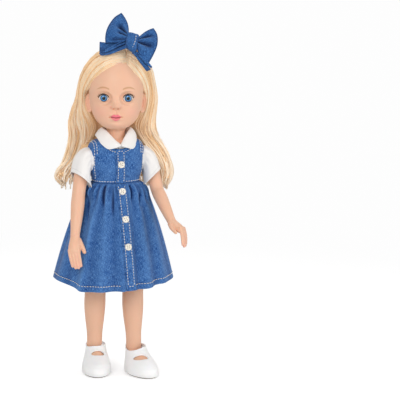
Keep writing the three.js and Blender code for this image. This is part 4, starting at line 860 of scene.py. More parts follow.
def makeArm(name, sign):
    shoulder, elbow, wrist, knuckle, tip = armPath(name, sign)
    angle = math.radians(arms[name]["thumb"])
    thumbWay = np.array([-sign * math.cos(angle), -math.sin(angle), 0])
    along = unit(tip - knuckle)
    palmAlong = unit(knuckle - wrist)
    across = unit(thumbWay - along * (thumbWay @ along))
    palmAcross = unit(thumbWay - palmAlong * (thumbWay @ palmAlong))
    back = unit(np.cross(along, across)) * (1 if name == "right" else -1)
    if back @ np.array([sign * 1.0, -0.4, 0]) < 0:
        back = -back
    between = lambda a, b, t: a + (b - a) * t
    top = shoulder + np.array([-sign * 1.0, 0, 6.5])
    limb = limbSurface(name + "Limb", [(top + np.array([0, 0, 1.5]), 1.5, 1.5, across),
            (top + np.array([0, 0, 0.6]), 4.5, 4.5, across),
            (between(shoulder, elbow, -0.08), 7.0, 6.8, across),
            (between(shoulder, elbow, 0.12), 7.2, 7.0, across),
            (between(shoulder, elbow, 0.55), 7.3, 7.1, across),
            (between(elbow, wrist, -0.04), 7.0, 6.9, across),
            (between(elbow, wrist, 0.22), 7.25, 7.0, across),
            (between(elbow, wrist, 0.6), 6.2, 6.0, palmAcross),
            (between(elbow, wrist, 0.9), 5.1, 4.7, palmAcross),
            (between(wrist, knuckle, 0.12), 5.3, 4.5, palmAcross),
            (between(wrist, knuckle, 0.5), 6.4, 4.4, palmAcross),
            (between(wrist, knuckle, 0.85), 6.7, 3.6, palmAcross),
            (between(knuckle, tip, 0.08), 6.2, 2.4, across),
            (between(knuckle, tip, 0.2), 3.0, 1.2, across)], lengthwise=150)
    fingers = [limb]
    step = np.linspace(0, 1, 6)[:, None]
    for i, (reach, size) in enumerate(((13.2, 1.65), (15.6, 1.85), (16.2, 1.9), (14.6, 1.85))):
        # index 0 is the little finger, 3 the forefinger beside the thumb
        spot = (i - 1.5) * 3.25
        root = knuckle + across * spot * 0.98 - along * 5
        end = knuckle + across * spot * 0.93 + along * reach
        bow = back * 0.9 * np.sin(step * math.pi)
        path = root + (end - root) * step + bow
        sizes = np.array([1.0, 1.04, 1.0, 1.0, 0.93, 0.80]) * size
        stops = [(p, s, s * 0.97, across) for p, s in zip(path, sizes)]
        tipAway = unit(end - root)
        stops += [(end + tipAway * 0.9, size * 0.55, size * 0.52, across),
            (end + tipAway * 1.25, size * 0.12, size * 0.12, across)]
        fingers.append(limbSurface(f"{name}Finger{i}", stops, 20, 40))
    root = between(wrist, knuckle, 0.10) + palmAcross * 3.2 - back * 1.2
    bend = between(wrist, knuckle, 0.62) + palmAcross * 8.0 - back * 2.2
    end = knuckle + across * 10.4 + along * 1.6 - back * 3.0
    way = unit(end - bend)
    stops = [(root, 3.0, 2.8, across), (between(root, bend, 0.5), 2.75, 2.5, across),
        (bend, 2.35, 2.15, across), (between(bend, end, 0.55), 2.2, 2.0, across),
        (end - way * 0.4, 1.85, 1.7, across), (end + way * 0.7, 1.05, 1.0, across),
        (end + way * 1.15, 0.2, 0.2, across)]
    fingers.append(limbSurface(name + "Thumb", stops, 20, 40))
    arm = joined(name + "Arm", fingers)
    modifier(arm, "REMESH", mode="VOXEL", voxel_size=0.00055)
    modifier(arm, "SMOOTH", factor=0.5, iterations=5)
    bake(arm)
    for key in ("blush", "lid", "lip", "brow", "nostril", "lipLine"):
        if key in arm.data.attributes:
            arm.data.attributes.remove(arm.data.attributes[key])
    co = readPoints(arm.data) * 1000 - dollAxis
    # Painted shade in a warm blush colour in the gaps where the fingers touch, a warm blush toward the
    # fingertips, and a soft crease at the wrist
    spot, reach = (co - knuckle) @ across, (co - knuckle) @ along
    lines = (np.exp(-((np.abs((spot / 3.1) % 1 - 0.5) - 0.5) / 0.13) ** 2) * smoothstep(reach, -1, 3)
        * smoothstep(np.abs(spot), 5.6, 5.0))
    crease = np.exp(-((co - between(wrist, knuckle, 0.02)) @ palmAlong / 0.55) ** 2)
    arm.data.attributes.new("blush", "FLOAT", "POINT").data.foreach_set("value",
        (0.45 * lines + 0.25 * smoothstep(reach, 6, 16)).astype(np.float32))
    co = co - readPoints(arm.data, "normal") * (0.35 * crease)[:, None]
    arm.data.vertices.foreach_set("co", ((co + dollAxis) / 1000).ravel())
    arm.data.update()
    dress(arm, vinyl, name + "_arm", [name + "_arm"])


steps = {"right": -6.0, "left": 13.0}
shoe = {"height": 28.0, "length": 48.0, "width": 28.5, "sole": 1.6, "toeOut": 12.0, "ankle": 15.0}


def makeLeg(name, sign):
    hipX, step = sign * 19.5, steps[name]
    lean = {"right": -1.6, "left": -1.0}[name]  # the shins stand a little to the doll's right
    row = lambda z, a, b, shiftY=0.0: (np.array([hipX + lean * float(smoothstep(z, 125, 92)),
                -step * (1 - z / 165) + shiftY, z]), a, b, np.array([1.0, 0, 0]))
    leg = limbSurface(name + "LegVinyl", [
            row(15, 7.8, 8.4, 1.0), row(24, 8.2, 8.4, 0.5), row(31, 8.2, 8.2), row(42, 8.5, 8.5, 0.3),
            row(58, 10.3, 10.5, 0.9),
            row(72, 11.4, 11.6, 1.0), row(86, 11.3, 11.4, 0.3), row(96, 11.7, 11.7, -0.3),
            row(115, 12.4, 12.5), row(140, 13.4, 13.6), row(160, 13.2, 13.4),
            row(170, 11.2, 11.6), row(176, 7.4, 8.0), row(178.6, 2.0, 2.2)], around=72, lengthwise=150)
    dress(leg, vinyl, name + "_leg", [name + "_leg"])


makeTorso()
for name, sign in signs.items():
    makeArm(name, sign)
    makeLeg(name, sign)
print("body, arms and legs made")


# Clothes

skirtSizes = {"waistZ": 207.7, "hemZ": 99.7, "hemHalf": (63.0, 49.0), "waistHalf": (24.6, 17.1),
    "flare": 0.66, "folds": 14, "foldDepth": 2.5, "placket": 9.4, "drift": 3.2}
stitchSize = {"length": 2.1, "gap": 0.85, "thick": 0.32}


def pathLength(path):
    return np.concatenate([[0], np.cumsum(np.linalg.norm(np.diff(path, axis=0), axis=1))])


# Short rounded threads laid end to end along a path, lifted a little off the cloth. lift is one
# direction for each path point.
def stitchRow(name, path, lift):
    run = pathLength(path)
    pitch = stitchSize["length"] + stitchSize["gap"]
    count = max(1, int(run[-1] / pitch))
    start = (run[-1] - count * pitch + stitchSize["gap"]) / 2 + np.arange(count) * pitch
    at = start[:, None] + np.linspace(0, stitchSize["length"], 7)
    point = np.stack([np.interp(at, run, path[:, k]) for k in range(3)], axis=-1)
    away = unit(np.stack([np.interp(at, run, lift[:, k]) for k in range(3)], axis=-1))
    rise = np.sin(np.linspace(0, math.pi, 7)) ** 0.6
    point = point + away * (0.30 * rise - 0.10)[None, :, None]
    thick = stitchSize["thick"] * np.array([0.35, 0.85, 1, 1, 1, 0.85, 0.35])
    return tubes(name, point, thick[None], sides=6)


hemShape = np.array([  # turn from the front in degrees, how far the hem stands out, how far it is lifted
        (-180, 0, 0), (-130, 2.5, 2), (-105, 3.8, 3.8), (-82, 2.6, 4.0), (-64, 0.8, 1.8), (-53, 1.2, -0.4),
        (-44, 4.4, -2.4), (-34, 3, -2.4), (-20, 1.5, -2.2), (-7, 1, -2.1), (4, 1, -1.7), (15, 0.4, -1.3),
        (30, -0.4, -0.2), (50, -0.4, 1.0), (75, 1.2, 1.5), (100, 1.5, 1.7), (130, 0, 1), (180, 0, 0)])


# The skirt's cloth. share runs from 0 at the waist seam to 1 at the hem. Each ring is an oval that
# widens as share^flare, moved outward by wide soft folds, cos(folds * turn from the front), and by
# gathers under the waist that fade further down.
def skirtPoint(turn, share, offset=0.0):
    turn, share = np.broadcast_arrays(turn, share)
    spread = np.clip(share, 0, 1) ** skirtSizes["flare"]
    halfX = mix(skirtSizes["waistHalf"][0], skirtSizes["hemHalf"][0], spread)
    halfY = mix(skirtSizes["waistHalf"][1], skirtSizes["hemHalf"][1], spread)
    power = 2 / mix(2.3, 2.0, spread)
    c, s = np.cos(turn), np.sin(turn)
    x = np.sign(c) * np.abs(c) ** power * halfX
    y = np.sign(s) * np.abs(s) ** power * halfY
    front = turn + math.pi / 2
    turns = np.degrees((front + math.pi) % (2 * math.pi) - math.pi)
    calm = np.where(s < 0, smoothstep(np.abs(x - skirtSizes["drift"] * share), 5.0, 9.5), 1.0)
    wide = np.cos(skirtSizes["folds"] * front + 0.35 * np.sin(3 * front) + 0.5 * share)
    sharp = 0.5 * wide + 0.5 * np.sign(wide) * np.abs(wide) ** 0.7
    depth = (skirtSizes["foldDepth"] * (0.45 + 0.55 * spread) * (0.75 + 0.35 * np.sin(2.7 * front + 1.0))
        * smoothstep(share, 0.02, 0.3))
    depth = (depth * (1 - 0.85 * spread**3 * smoothstep(np.abs(turns), 40, 58) * smoothstep(np.abs(turns),
                120, 100)))
    edge = 2.0 * smoothstep(share, 0.03, 0.4) * np.exp(-((front + 0.76 + 0.08 * share) / 0.09) ** 2)
    grow = calm * (depth * sharp + edge - 3.2 * pleatMark(turns, share) + gathers(front, share)) + offset
    bloom = 2.2 * bell(share, 0.065, 0.07)  # the gathers stand out just under the seam
    rows = spline(hemShape, 361)
    grow = grow + bloom * (0.25 + 0.75 * calm) + spread**1.5 * np.interp(turns, rows[:, 0], rows[:, 1])
    level = skirtSizes["waistZ"] - share * (skirtSizes["waistZ"] - skirtSizes["hemZ"])
    lift = share**1.5 * np.interp(turns, rows[:, 0], rows[:, 2])
    return np.stack([x + grow * c, y + grow * s, level + lift], axis=-1)


# The deepest pleats under the waist seam, from 0 to 1. Each runs along the angles given at 8, 20 and 35 %
# of the skirt's length and dies out at its reach.
pleats = (((-79, -63, -54), 0.42, 5.0), ((-57, -52, -47), 0.20, 2.6), ((-33, -30, -27), 0.27, 2.6),
    ((-14, -14, -14), 0.36, 2.2), ((18, 13, 9), 0.20, 2.2), ((41, 30, 23), 0.28, 3.0),
    ((60, 50, 42), 0.22, 3.4))


def pleatMark(turns, share):
    total = 0
    for angles, reach, width in pleats:
        place = np.interp(share, (0.08, 0.2, 0.35), angles)
        near = np.where(turns < place, bell(turns, place, width),
            np.exp(-((turns - place) / (0.5 * width)) ** 2))
        total = total + near * smoothstep(share, 0.005, 0.04) * smoothstep(share, reach, 0.45 * reach)
    return np.clip(total, 0, 1)


# Height of the small folds that the waist seam gathers, about 7 mm apart and fading over 30 mm
def gathers(front, share):
    coarse = np.cos(25 * front + 1.5 * np.sin(3 * front + 0.6))
    fine = np.cos(51 * front + 1.2 * np.sin(5 * front))
    rise = smoothstep(share, -0.01, 0.045)
    fade = np.exp(-(np.clip(share, 0, 1) / (0.17 + 0.07 * np.sin(7 * front))) ** 1.6)
    sharp = coarse - 0.35 * (1 - coarse**2)
    return rise * fade * (1.75 * sharp + 0.35 * fine)


# Two halves, split under the placket and at the back.
def makeSkirt():
    for name, sign in signs.items():
        front, back = -math.pi / 2, math.pi / 2
        turn = np.linspace(front, back, 380) if sign > 0 else np.linspace(front, back - 2 * math.pi, 380)
        share = np.concatenate([np.linspace(0, 0.2, 50)[:-1], np.linspace(0.2, 0.985, 78)])[:, None]
        outside = skirtPoint(turn, share)
        hem = skirtPoint(turn, np.array([[0.992], [1.0], [1.0], [0.992]]),
            np.array([[0.0], [-0.2], [-0.7], [-0.9]]))
        inside = skirtPoint(turn, share[::-1][::3], -0.9)
        points = np.concatenate([outside, hem, inside])
        width = np.linalg.norm(np.diff(outside[-1], axis=0), axis=1)
        u = np.concatenate([[0], np.cumsum(width)])
        v = np.concatenate([share[:, 0] * 112, 112 + np.array([0.3, 1, 1.5, 2]), 114
                + (1 - share[::-1][::3, 0]) * 112])
        uv = np.stack(np.meshgrid(u * sign, v), axis=-1)
        shareAll = np.concatenate([share[:, 0], [0.99, 1, 1, 0.99], share[::-1][::3, 0]])[:, None]
        f = turn + math.pi / 2
        wide = np.cos(skirtSizes["folds"] * f + 0.35 * np.sin(3 * f) + 0.5 * shareAll)
        folded = gathers(f, shareAll)
        # Painted shade in the fold valleys, the gathers, the deep pleats and along the hem's stitch line.
        # The other mark lightens the hem's folded edge, partly real wear and partly painted highlight, and
        # paints highlight on the fold crests, the gather crests and the bright fold edge from the waist
        # down to the hem.
        shade = (0.34 * np.clip(-wide, 0, 1) ** 2 * smoothstep(shareAll, 0.02, 0.3)
            + 0.55 * np.clip(-folded - 0.2, 0, 1))
        shade = shade + 0.95 * pleatMark(np.degrees((f + math.pi) % (2 * math.pi) - math.pi), shareAll)
        seam = bell(shareAll, 0.945, 0.006)
        wearAndHighlight = (0.5 * bell(shareAll, 0.998, 0.006) + 0.22 * np.clip(wide, 0, 1) ** 3 * smoothstep(shareAll,
                0.1, 0.5))
        wearAndHighlight = np.clip(wearAndHighlight + 0.30 * np.clip(folded, 0, 1) + 0.5 * smoothstep(shareAll, 0.03, 0.4)
            * np.exp(-((f + 0.76 + 0.08 * shareAll) / 0.04) ** 2), 0, 1)
        piece = surface(name + "Skirt", points, uv=uv, flip=sign > 0,
            marks={"shade": np.clip(shade + 0.4 * seam, 0, 1), "wearAndHighlight": np.broadcast_to(wearAndHighlight, shade.shape)})
        dress(piece, denim, replaces=["skirt"])
        blendLeg(piece)


# Makes the piece's place final in its mesh.
def blendLeg(piece):
    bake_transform(piece)


def makeSkirtStitches():
    for name, sign in signs.items():
        front, back = -math.pi / 2, math.pi / 2
        edge = 0.11
        turn = np.linspace(front + edge, back, 900) if sign > 0 else np.linspace(front - edge,
            back - 2 * math.pi, 900)
        path = skirtPoint(turn, 0.948, 0.1)
        away = np.stack([np.cos(turn), np.sin(turn), 0 * turn], axis=-1)
        row = stitchRow(name + "HemStitches", path, away)
        dress(row, thread)
        blendLeg(row)


# A point on the strip down the front of the skirt. across is in millimetres from its middle.
def placketPoint(across, share, offset=0.0):
    across, share = np.broadcast_arrays(across, share)
    across = across + skirtSizes["drift"] * np.clip(share, 0, 1)
    spread = np.clip(share, 0, 1) ** skirtSizes["flare"]
    halfX = mix(skirtSizes["waistHalf"][0], skirtSizes["hemHalf"][0], spread)
    part = np.abs(across / halfX) ** (mix(2.3, 2.0, spread) / 2)
    turn = np.sign(across) * np.arcsin(np.clip(part, 0, 1)) - math.pi / 2
    return skirtPoint(turn, share, offset)


# A point on the front of the bodice, across millimetres from the middle.
def bodiceFront(across, z, offset=0.0):
    across, z = np.broadcast_arrays(across, z)
    fine = spline(bodyRows, 400)
    a, b, n = (np.interp(z, fine[:, 0], fine[:, k]) for k in (1, 2, 3))
    grow = bodiceGrow + offset
    y = -(b + grow) * np.clip(1 - np.abs(across / (a + grow)) ** n, 0, 1) ** (1 / n)
    return np.stack([across, y, z], axis=-1)


bodiceGrow = 2.7


# A folded strip of denim from the neckline to the hem, with a line of stitches down each side and a
# box of them at the neckline and the hem.
def makePlacket():
    half = skirtSizes["placket"] / 2
    profile = np.array([(-1, 0.0), (-1, 0.45), (-0.96, 0.62), (-0.9, 0.68), (-0.75, 0.62), (-0.4, 0.66),
            (0, 0.7), (0.4, 0.66), (0.75, 0.66), (0.9, 0.82), (0.96, 0.78), (1, 0.55), (1, 0.0)])
    across, raised = profile[:, 0] * half, profile[:, 1]
    share = np.linspace(0.0, 0.998, 170)[:, None]
    lower = placketPoint(across, share, raised + 0.15)
    z = np.linspace(244.4, 208.2, 50)[:, None]
    upper = bodiceFront(across, z, raised + 0.25)
    for name, points, node, long in (("skirtPlacket", lower, "skirt_placket", 112),
        ("bodicePlacket", upper, "bodice_placket", 36)):
        v = np.linspace(0, long, len(points))
        uv = np.stack(np.meshgrid(across, v), axis=-1)
        # Painted highlight on the raised folded edge, partly real wear, and painted shade beside the
        # overlapping edge and along the sunk stitch lines
        edge = bell(profile[:, 0], 0.93, 0.06) * 0.35 * np.ones((len(points), 1))
        inner = (bell(profile[:, 0], 0.99, 0.04) * 0.8
            + np.exp(-((np.abs(profile[:, 0]) - 0.75) / 0.10) ** 2) * 0.3)
        piece = surface(name, points, uv=uv,
            marks={"wearAndHighlight": edge, "shade": inner * np.ones((len(points), 1))})
        modifier(piece, "SOLIDIFY", thickness=0.0005, offset=-1)
        bake(piece)
        dress(piece, denim, "torso", [node])
    rows = []
    ahead = np.array([0.0, -1, 0.3])
    for k, spot in enumerate((-3.3, 3.3)):
        line = placketPoint(np.full(160, spot), np.linspace(0.01, 0.955, 160), 1.25)
        rows.append(stitchRow(f"placketStitches{k}", line, np.tile(ahead, (160, 1))))
        line = bodiceFront(np.full(60, spot), np.linspace(242.4, 209, 60), 1.35)
        rows.append(stitchRow(f"bodiceStitches{k}", line, np.tile(ahead, (60, 1))))
    line = placketPoint(np.linspace(-3.3, 3.3, 40), 0.955, 1.25)
    rows.append(stitchRow("placketBox", line, np.tile(ahead, (40, 1))))
    line = bodiceFront(np.linspace(-3.3, 3.3, 30), 242.4, 1.35)
    rows.append(stitchRow("bodiceBox", line, np.tile(ahead, (30, 1))))
    dress(joined("placketStitches", rows), thread, "torso")


buttons = {"radius": 3.75, "thick": 1.7, "z": (228.5, 200.5, 172.5, 144.5), "hole": 0.5, "holeAt": 1.0}


# Turned button: a rim, a dished middle and four holes sewn with a cross of thread. Polar grid, with
# the rows finest at the holes.
def makeButtons():
    pieces = []
    for i, z in enumerate(buttons["z"]):
        r = np.concatenate([np.linspace(0.03, 2.0, 44), np.linspace(2.06, 3.75, 22)])
        turn = wholeTurn(120)
        radius = np.concatenate([r, [3.75, 3.6, 0.03]])[:, None]
        x, y = radius * np.cos(turn), radius * np.sin(turn)
        top = (0.85 + 0.5 * bell(r, 3.05, 0.34) - 0.25 * smoothstep(r, 2.7, 2.2)
            - 0.75 * smoothstep(r, 3.3, 3.76) ** 2)
        height = np.concatenate([top, [-0.6, -0.8, -0.8]])[:, None] * np.ones_like(x)
        away = np.hypot(np.abs(x) - buttons["holeAt"], np.abs(y) - buttons["holeAt"])
        front = (np.arange(len(radius)) < len(r))[:, None]
        height = height - 0.9 * smoothstep(away, 0.62, 0.42) * front + 0.10 * bell(away, 0.72, 0.14) * front
        if i == 0:
            seat = bodiceFront(0.0, z, 2.2)
            tilt = 0.0
        else:
            share = (skirtSizes["waistZ"] - z) / (skirtSizes["waistZ"] - skirtSizes["hemZ"])
            seat, above, below = (placketPoint(0.0, share + d, 2.0) for d in (0, -0.03, 0.03))
            tilt = math.atan2(above[1] - below[1], above[2] - below[2])
        way = np.array([0, -math.cos(tilt), math.sin(tilt)])
        upward = np.array([0, math.sin(tilt), math.cos(tilt)])
        roll = math.radians((8, -12, 20, 4)[i])
        ax = np.array([math.cos(roll), 0, 0]) + upward * math.sin(roll)
        ay = -np.array([math.sin(roll), 0, 0]) + upward * math.cos(roll)
        points = seat + x[..., None] * ax + y[..., None] * ay + height[..., None] * way
        hole = 0.75 * smoothstep(away, 0.62, 0.42) * front
        button = surface(f"button{i + 1}", points, wrap=True, caps=("first", "last"), marks={"shade": hole})
        dress(button, buttonPlastic, "torso", [f"button_{i + 1}"])
        sewn = []
        for a, b in (((-1, -1), (1, 1)), ((-1, 1), (1, -1))):
            t = np.linspace(0, 1, 15)[:, None]
            flat = (np.array(a) + (np.array(b) - np.array(a)) * t) * buttons["holeAt"]
            rise = -0.25 + 1.15 * np.sin(t * math.pi) ** 0.45
            sewn.append(seat + flat[:, :1] * ax + flat[:, 1:] * ay + rise * way)
        pieces.append(tubes(f"buttonThread{i + 1}", np.stack(sewn), 0.2, sides=6))
    dress(joined("buttonThreads", pieces), thread, "torso")


# The white blouse under the bodice, seen at the neck and armholes.
def makeBlouse():
    z = np.linspace(201, 253.2, 80)[:, None]
    turn = wholeTurn(160)
    points = torsoRing(z, turn, 1.1)
    blouse = surface("blouseBody", points, wrap=True)
    modifier(blouse, "SOLIDIFY", thickness=0.0004, offset=-1)
    opening = barAlong("opening", 1, -34, -2, (0, 254.5), 8.5, 6.5)
    carve(blouse, [opening])
    dress(blouse, cotton, "torso", ["blouse_body"])


# Cotton briefs: a shell round the hips whose leg openings are cut high
def makeBriefs():
    z = np.linspace(158.2, 197.5, 60)[:, None]
    turn = wholeTurn(160)
    gather = 0.25 * np.cos(40 * turn) * bell(z, 195.5, 1.6)
    points = torsoRing(z, turn, 0.9 + gather)
    briefs = surface("briefsCloth", points, wrap=True,
        marks={"shade": np.broadcast_to(0.4 * bell(z, 193.6, 0.5), points.shape[:2])})
    modifier(briefs, "SOLIDIFY", thickness=0.0006, offset=-1)
    bars = [barAlong("legOpening", 0, sign * 9, sign * 40, (0, 162), 17, 13.5) for sign in (-1, 1)]
    carve(briefs, bars)
    dress(briefs, cotton, "torso", ["briefs"])


# The facing sewn inside the waist: a ring of the same cloth that stays on the body when the skirt lifts
def makeFacing():
    z = np.linspace(186.0, 208.4, 30)[:, None]
    turn = wholeTurn(160)
    points = torsoRing(z, turn, bodiceGrow - 0.5)
    facing = surface("waistFacing", points, wrap=True)
    modifier(facing, "SOLIDIFY", thickness=0.0007, offset=-1)
    bake(facing)
    dress(facing, denim, "torso")


armhole = {"half": (9.2, 12.0), "z": 233.0, "inset": 22.0}
neckline = {"half": 15.0, "drop": 10.6, "z": 255.0}


def cutter(name, points):
    outward = (np.cross(points[0, 1] - points[0, 0], points[1, 0] - points[0, 0]) @ (points[0, 0]
            - points[0].mean(0)))
    return surface(name, points, wrap=True, caps=("first", "last"), flip=outward < 0)


# An oval bar along X (axis 0), Y (1) or Z (2).
def barAlong(name, axis, start, end, middle, halfA, halfB):
    turn = wholeTurn(96)
    ring = np.zeros((2, 96, 3))
    others = [k for k in range(3) if k != axis]
    ring[:, :, others[0]] = middle[0] + halfA * np.cos(turn)
    ring[:, :, others[1]] = middle[1] + halfB * np.sin(turn)
    ring[:, :, axis] = np.array([start, end])[:, None]
    return cutter(name, ring)


# Pinafore top: one shell round the chest, with a scooped neckline and round armholes cut in it.
def makeBodice():
    z = np.linspace(208.0, 253.4, 84)[:, None]
    turn = wholeTurn(256) - math.pi / 2
    points = torsoRing(z, turn, bodiceGrow)
    points[..., 2] += 1.2 * smoothstep(z, 244, 252)
    bodice = surface("bodice", points, wrap=True,
        marks={"shade": np.broadcast_to(0.55 * bell(z, 208, 0.9), points.shape[:2])})
    modifier(bodice, "SOLIDIFY", thickness=0.0010, offset=-1)
    bars = [barAlong("hole", 0, sign * armhole["inset"], sign * 45, (0, armhole["z"]),
            *armhole["half"]) for sign in (-1, 1)]
    bars.append(barAlong("neck", 2, 246, 262, (0, 0), neckline["half"], neckline["half"] - 1.5))
    bars.append(barAlong("scoop", 1, -34, -2, (0, neckline["z"]), neckline["half"], neckline["drop"]))
    carve(bodice, bars)
    dress(bodice, denim, "torso", ["bodice"])
    # Top-stitching: a line beside each armhole with a second one at the shoulder, one along the neckline
    # and one above the waist seam
    rows = []
    high, low = np.linspace(251.5, 211.5, 120), np.linspace(251.5, 238, 50)
    for sign in (-1, 1):
        for side in (-1, 1):
            for z, shift in ((high, 0.0), (low, 2.4)):
                x = sign * (np.interp(z, (211, 222, 238, 246, 252), (24.4, 26.2, 26.6, 26.4, 26.6)) - shift)
                path = bodiceFront(x, z, 0.15) * np.array([1.0, -side, 1.0])
                path[:, 2] += 1.2 * smoothstep(z, 244, 252)
                away = path * np.array([0.6, 1.0, 0.0])
                rows.append(stitchRow("armholeStitches", path, away))
    angle = np.linspace(math.radians(196), math.radians(344), 160)
    x, z = (neckline["half"] + 3.4) * np.cos(angle), neckline["z"] + (neckline["drop"]
        + 3.4) * np.sin(angle)
    rows.append(stitchRow("neckStitches", bodiceFront(x, z, 0.15), np.tile([0.0, -1, 0.2], (160, 1))))
    turn = np.linspace(0, 2 * math.pi, 400)
    rows.append(stitchRow("waistStitches", torsoRing(np.full(400, 210.0), turn, bodiceGrow + 0.15),
            np.stack([np.cos(turn), np.sin(turn), 0 * turn], axis=-1)))
    dress(joined("bodiceTopStitches", rows), thread, "torso")


# A short set-in sleeve: the middle of each ring bends from the shoulder down over the arm, and soft
# pleats spread from the armhole.
def makeSleeve(name, sign):
    swing = math.radians(arms[name]["upper"][1])
    share = np.concatenate([np.linspace(-0.25, 0.0, 6)[:-1], np.linspace(0.0, 1.0, 72)])[:, None]
    s = np.clip(share, 0, 1)
    startX = 30.2 - {"right": 0.2, "left": 1.2}[name]
    drop = 21.5 * s**1.6
    middle = np.concatenate([sign * (startX + 9.5 * np.sin(s * math.pi / 2) + np.minimum(share, 0) * 26),
            -drop * math.sin(swing), 232.0 - drop * math.cos(swing)], axis=1)
    angle = np.radians(50 * s)
    along = np.concatenate([sign * np.cos(angle), -np.sin(angle) * math.sin(swing),
            -np.sin(angle) * math.cos(swing)], axis=1)
    broad = np.tile([0.0, 1.0, 0.0], (len(share), 1))
    thin = unit(np.cross(along, broad))
    broad = np.cross(thin, along)
    turn = wholeTurn(144)
    pleat = (np.cos(9 * turn + 1.3 * np.sin(2 * turn)) * 0.55 * bell(s, 0.18, 0.25)
        + np.cos(5 * turn + 0.8) * 0.45 * smoothstep(s, 0.3, 0.8))
    hem = {"right": 11.9, "left": 10.9}[name]
    size = (11.6 + 1.9 * np.sin(np.clip(s * 1.1, 0, 1) * math.pi * 0.8)
        + (hem - 12.1) * smoothstep(s, 0.25, 1.0))
    size = size + 0.6 + pleat * mix(1.0, 0.5, s)
    band = smoothstep(s, 0.895, 0.91) * 0.28
    size = size + band
    slim = mix(0.80, 1.0, smoothstep(share, -0.25, 0.15))[:, :, None]
    points = (middle[:, None] + size[:, :, None] * (slim * np.cos(turn)[:, None] * broad[:, None]
            + np.sin(turn)[:, None] * thin[:, None]))
    sleeve = surface(name + "Sleeve", points, wrap=True,
        marks={"shade": np.broadcast_to(0.5 * bell(s, 0.9, 0.01) + 0.35 * np.clip(-pleat, 0, 1),
                points.shape[:2])})
    modifier(sleeve, "SOLIDIFY", thickness=0.0007, offset=0)
    bake(sleeve)
    dress(sleeve, cotton, name + "_arm", [name + "_sleeve"])


# The collar's lines from the middle of the front to the middle of the back: the top of the fold, and the
# outer edge. The two wings differ a little, as they do when a collar is pressed by hand.
collarLines = {
    "right": {"fold": [(0.2, -18.2, 249.4), (5.2, -16.0, 253.6), (9.4, -12.4, 258.6), (12.6, -7.5, 262.9),
            (14.4, -1.0, 264.6), (12.8, 6.5, 264.6), (7.4, 12.0, 264.0), (0, 13.6, 263.6)],
        "edge": [(0.4, -19.0, 248.2), (7.5, -18.9, 246.0), (14.0, -17.4, 245.2), (19.0, -12.6, 249.6),
            (22.0, -5.0, 255.6), (21.6, 3.5, 257.2), (15.5, 11.5, 255.6), (0, 16.6, 254.0)]},
    "left": {"fold": [(0.2, -18.2, 249.4), (2.8, -17.0, 253.2), (6.4, -14.0, 257.8), (11.0, -10.0, 262.2),
            (14.8, -3.5, 264.8), (13.4, 5.5, 264.8), (7.8, 11.8, 264.2), (0, 13.6, 263.6)],
        "edge": [(0.4, -19.0, 248.2), (6.5, -19.0, 246.2), (13.6, -17.0, 244.4), (18.0, -12.4, 248.0),
            (21.0, -5.0, 256.6), (20.8, 3.5, 258.4), (15.5, 11.5, 256.0), (0, 16.6, 254.0)]}}


# One wing: the cloth rises inside along the neck, turns over at the fold and falls to its edge.
def makeCollar(name, sign):
    fold, edge = (spline(collarLines[name][key], 150)[:, None] for key in ("fold", "edge"))
    inside = fold * np.array([0.80, 0.80, 1.0]) - np.array([0, 0, 6.5])
    share = np.linspace(0, 1, 36)
    rise, fall = np.clip(share / 0.25, 0, 1)[:, None], np.clip((share - 0.25) / 0.75, 0, 1)[:, None]
    points = mix(mix(inside, fold, np.sin(rise * math.pi / 2)), edge,
        1 - np.cos(fall * math.pi / 2) ** 1.15)
    outward = unit((fold + edge) / 2 * np.array([1.0, 1.0, 0]))
    run = np.linspace(0, 1, 150)[:, None, None]
    points = points + outward * (1.5 * np.sin(fall * math.pi) + 0.25 * np.sin(run * 17) * fall)
    points = points * np.array([sign, 1.0, 1.0])
    border = np.broadcast_to(0.35 * bell(share, 0.93, 0.015), points.shape[:2])
    wing = surface(name + "Collar", points, marks={"shade": border}, flip=sign > 0)
    modifier(wing, "SOLIDIFY", thickness=0.0011, offset=0, use_rim=True)
    modifier(wing, "BEVEL", width=0.0004, segments=2, limit_method="ANGLE")
    bake(wing)
    dress(wing, cotton, "torso", ["collar_" + name])


# Middle, half length and half width of the level oval that the shoe's outside makes at a height.
def shoeOutline(name, sign, z):
    rows = np.array([(0.0, 47.0, 27.4), (1.6, 48.0, 28.3), (4.5, 48.4, 28.6), (8.5, 47.0, 27.8),
            (12.0, 43.6, 26.0), (15.5, 38.5, 23.8), (19.0, 33.0, 21.8), (22.5, 28.0, 20.2),
            (26.0, 24.2, 19.0), (28.5, 22.4, 18.4)])
    length, width = np.interp(z, rows[:, 0], rows[:, 1]), np.interp(z, rows[:, 0], rows[:, 2])
    out = math.radians(shoe["toeOut"])
    ahead = np.array([sign * math.sin(out), -math.cos(out), 0])
    broad = np.array([math.cos(out), sign * math.sin(out), 0])
    heel = np.array([sign * 19.5, -steps[name], 0])
    back = 9.3 + 0.9
    return heel, ahead, broad, length, width, back


# ahead of the heel, height, to the side and slant, in mm
window = {"right": (13.0, 17.6, 1.0, 0.2), "left": (13.5, 13.8, -4.0, -1.5)}
windowHalf = (7.3, 3.6)
anklePlace = {"right": (28.4, 5.6), "left": (25.2, 7.6)}  # height and how far it dips at the front


upAxis = np.array([0, 0, 1.0])


# Points on the outside of a shoe: at each height an oval of the outline's length and width, grown all
# round. turn 0 is toward its own left, a quarter turn is the toe.
def shoeWall(outline, turn, z, grow=0.0):
    heel, ahead, broad, length, width, back = outline
    return (heel + ahead * (length / 2 - back)[..., None]
        + broad * ((width / 2 + grow) * np.cos(turn))[..., None]
        + ahead * ((length / 2 + grow) * np.sin(turn))[..., None] + upAxis * z[..., None])


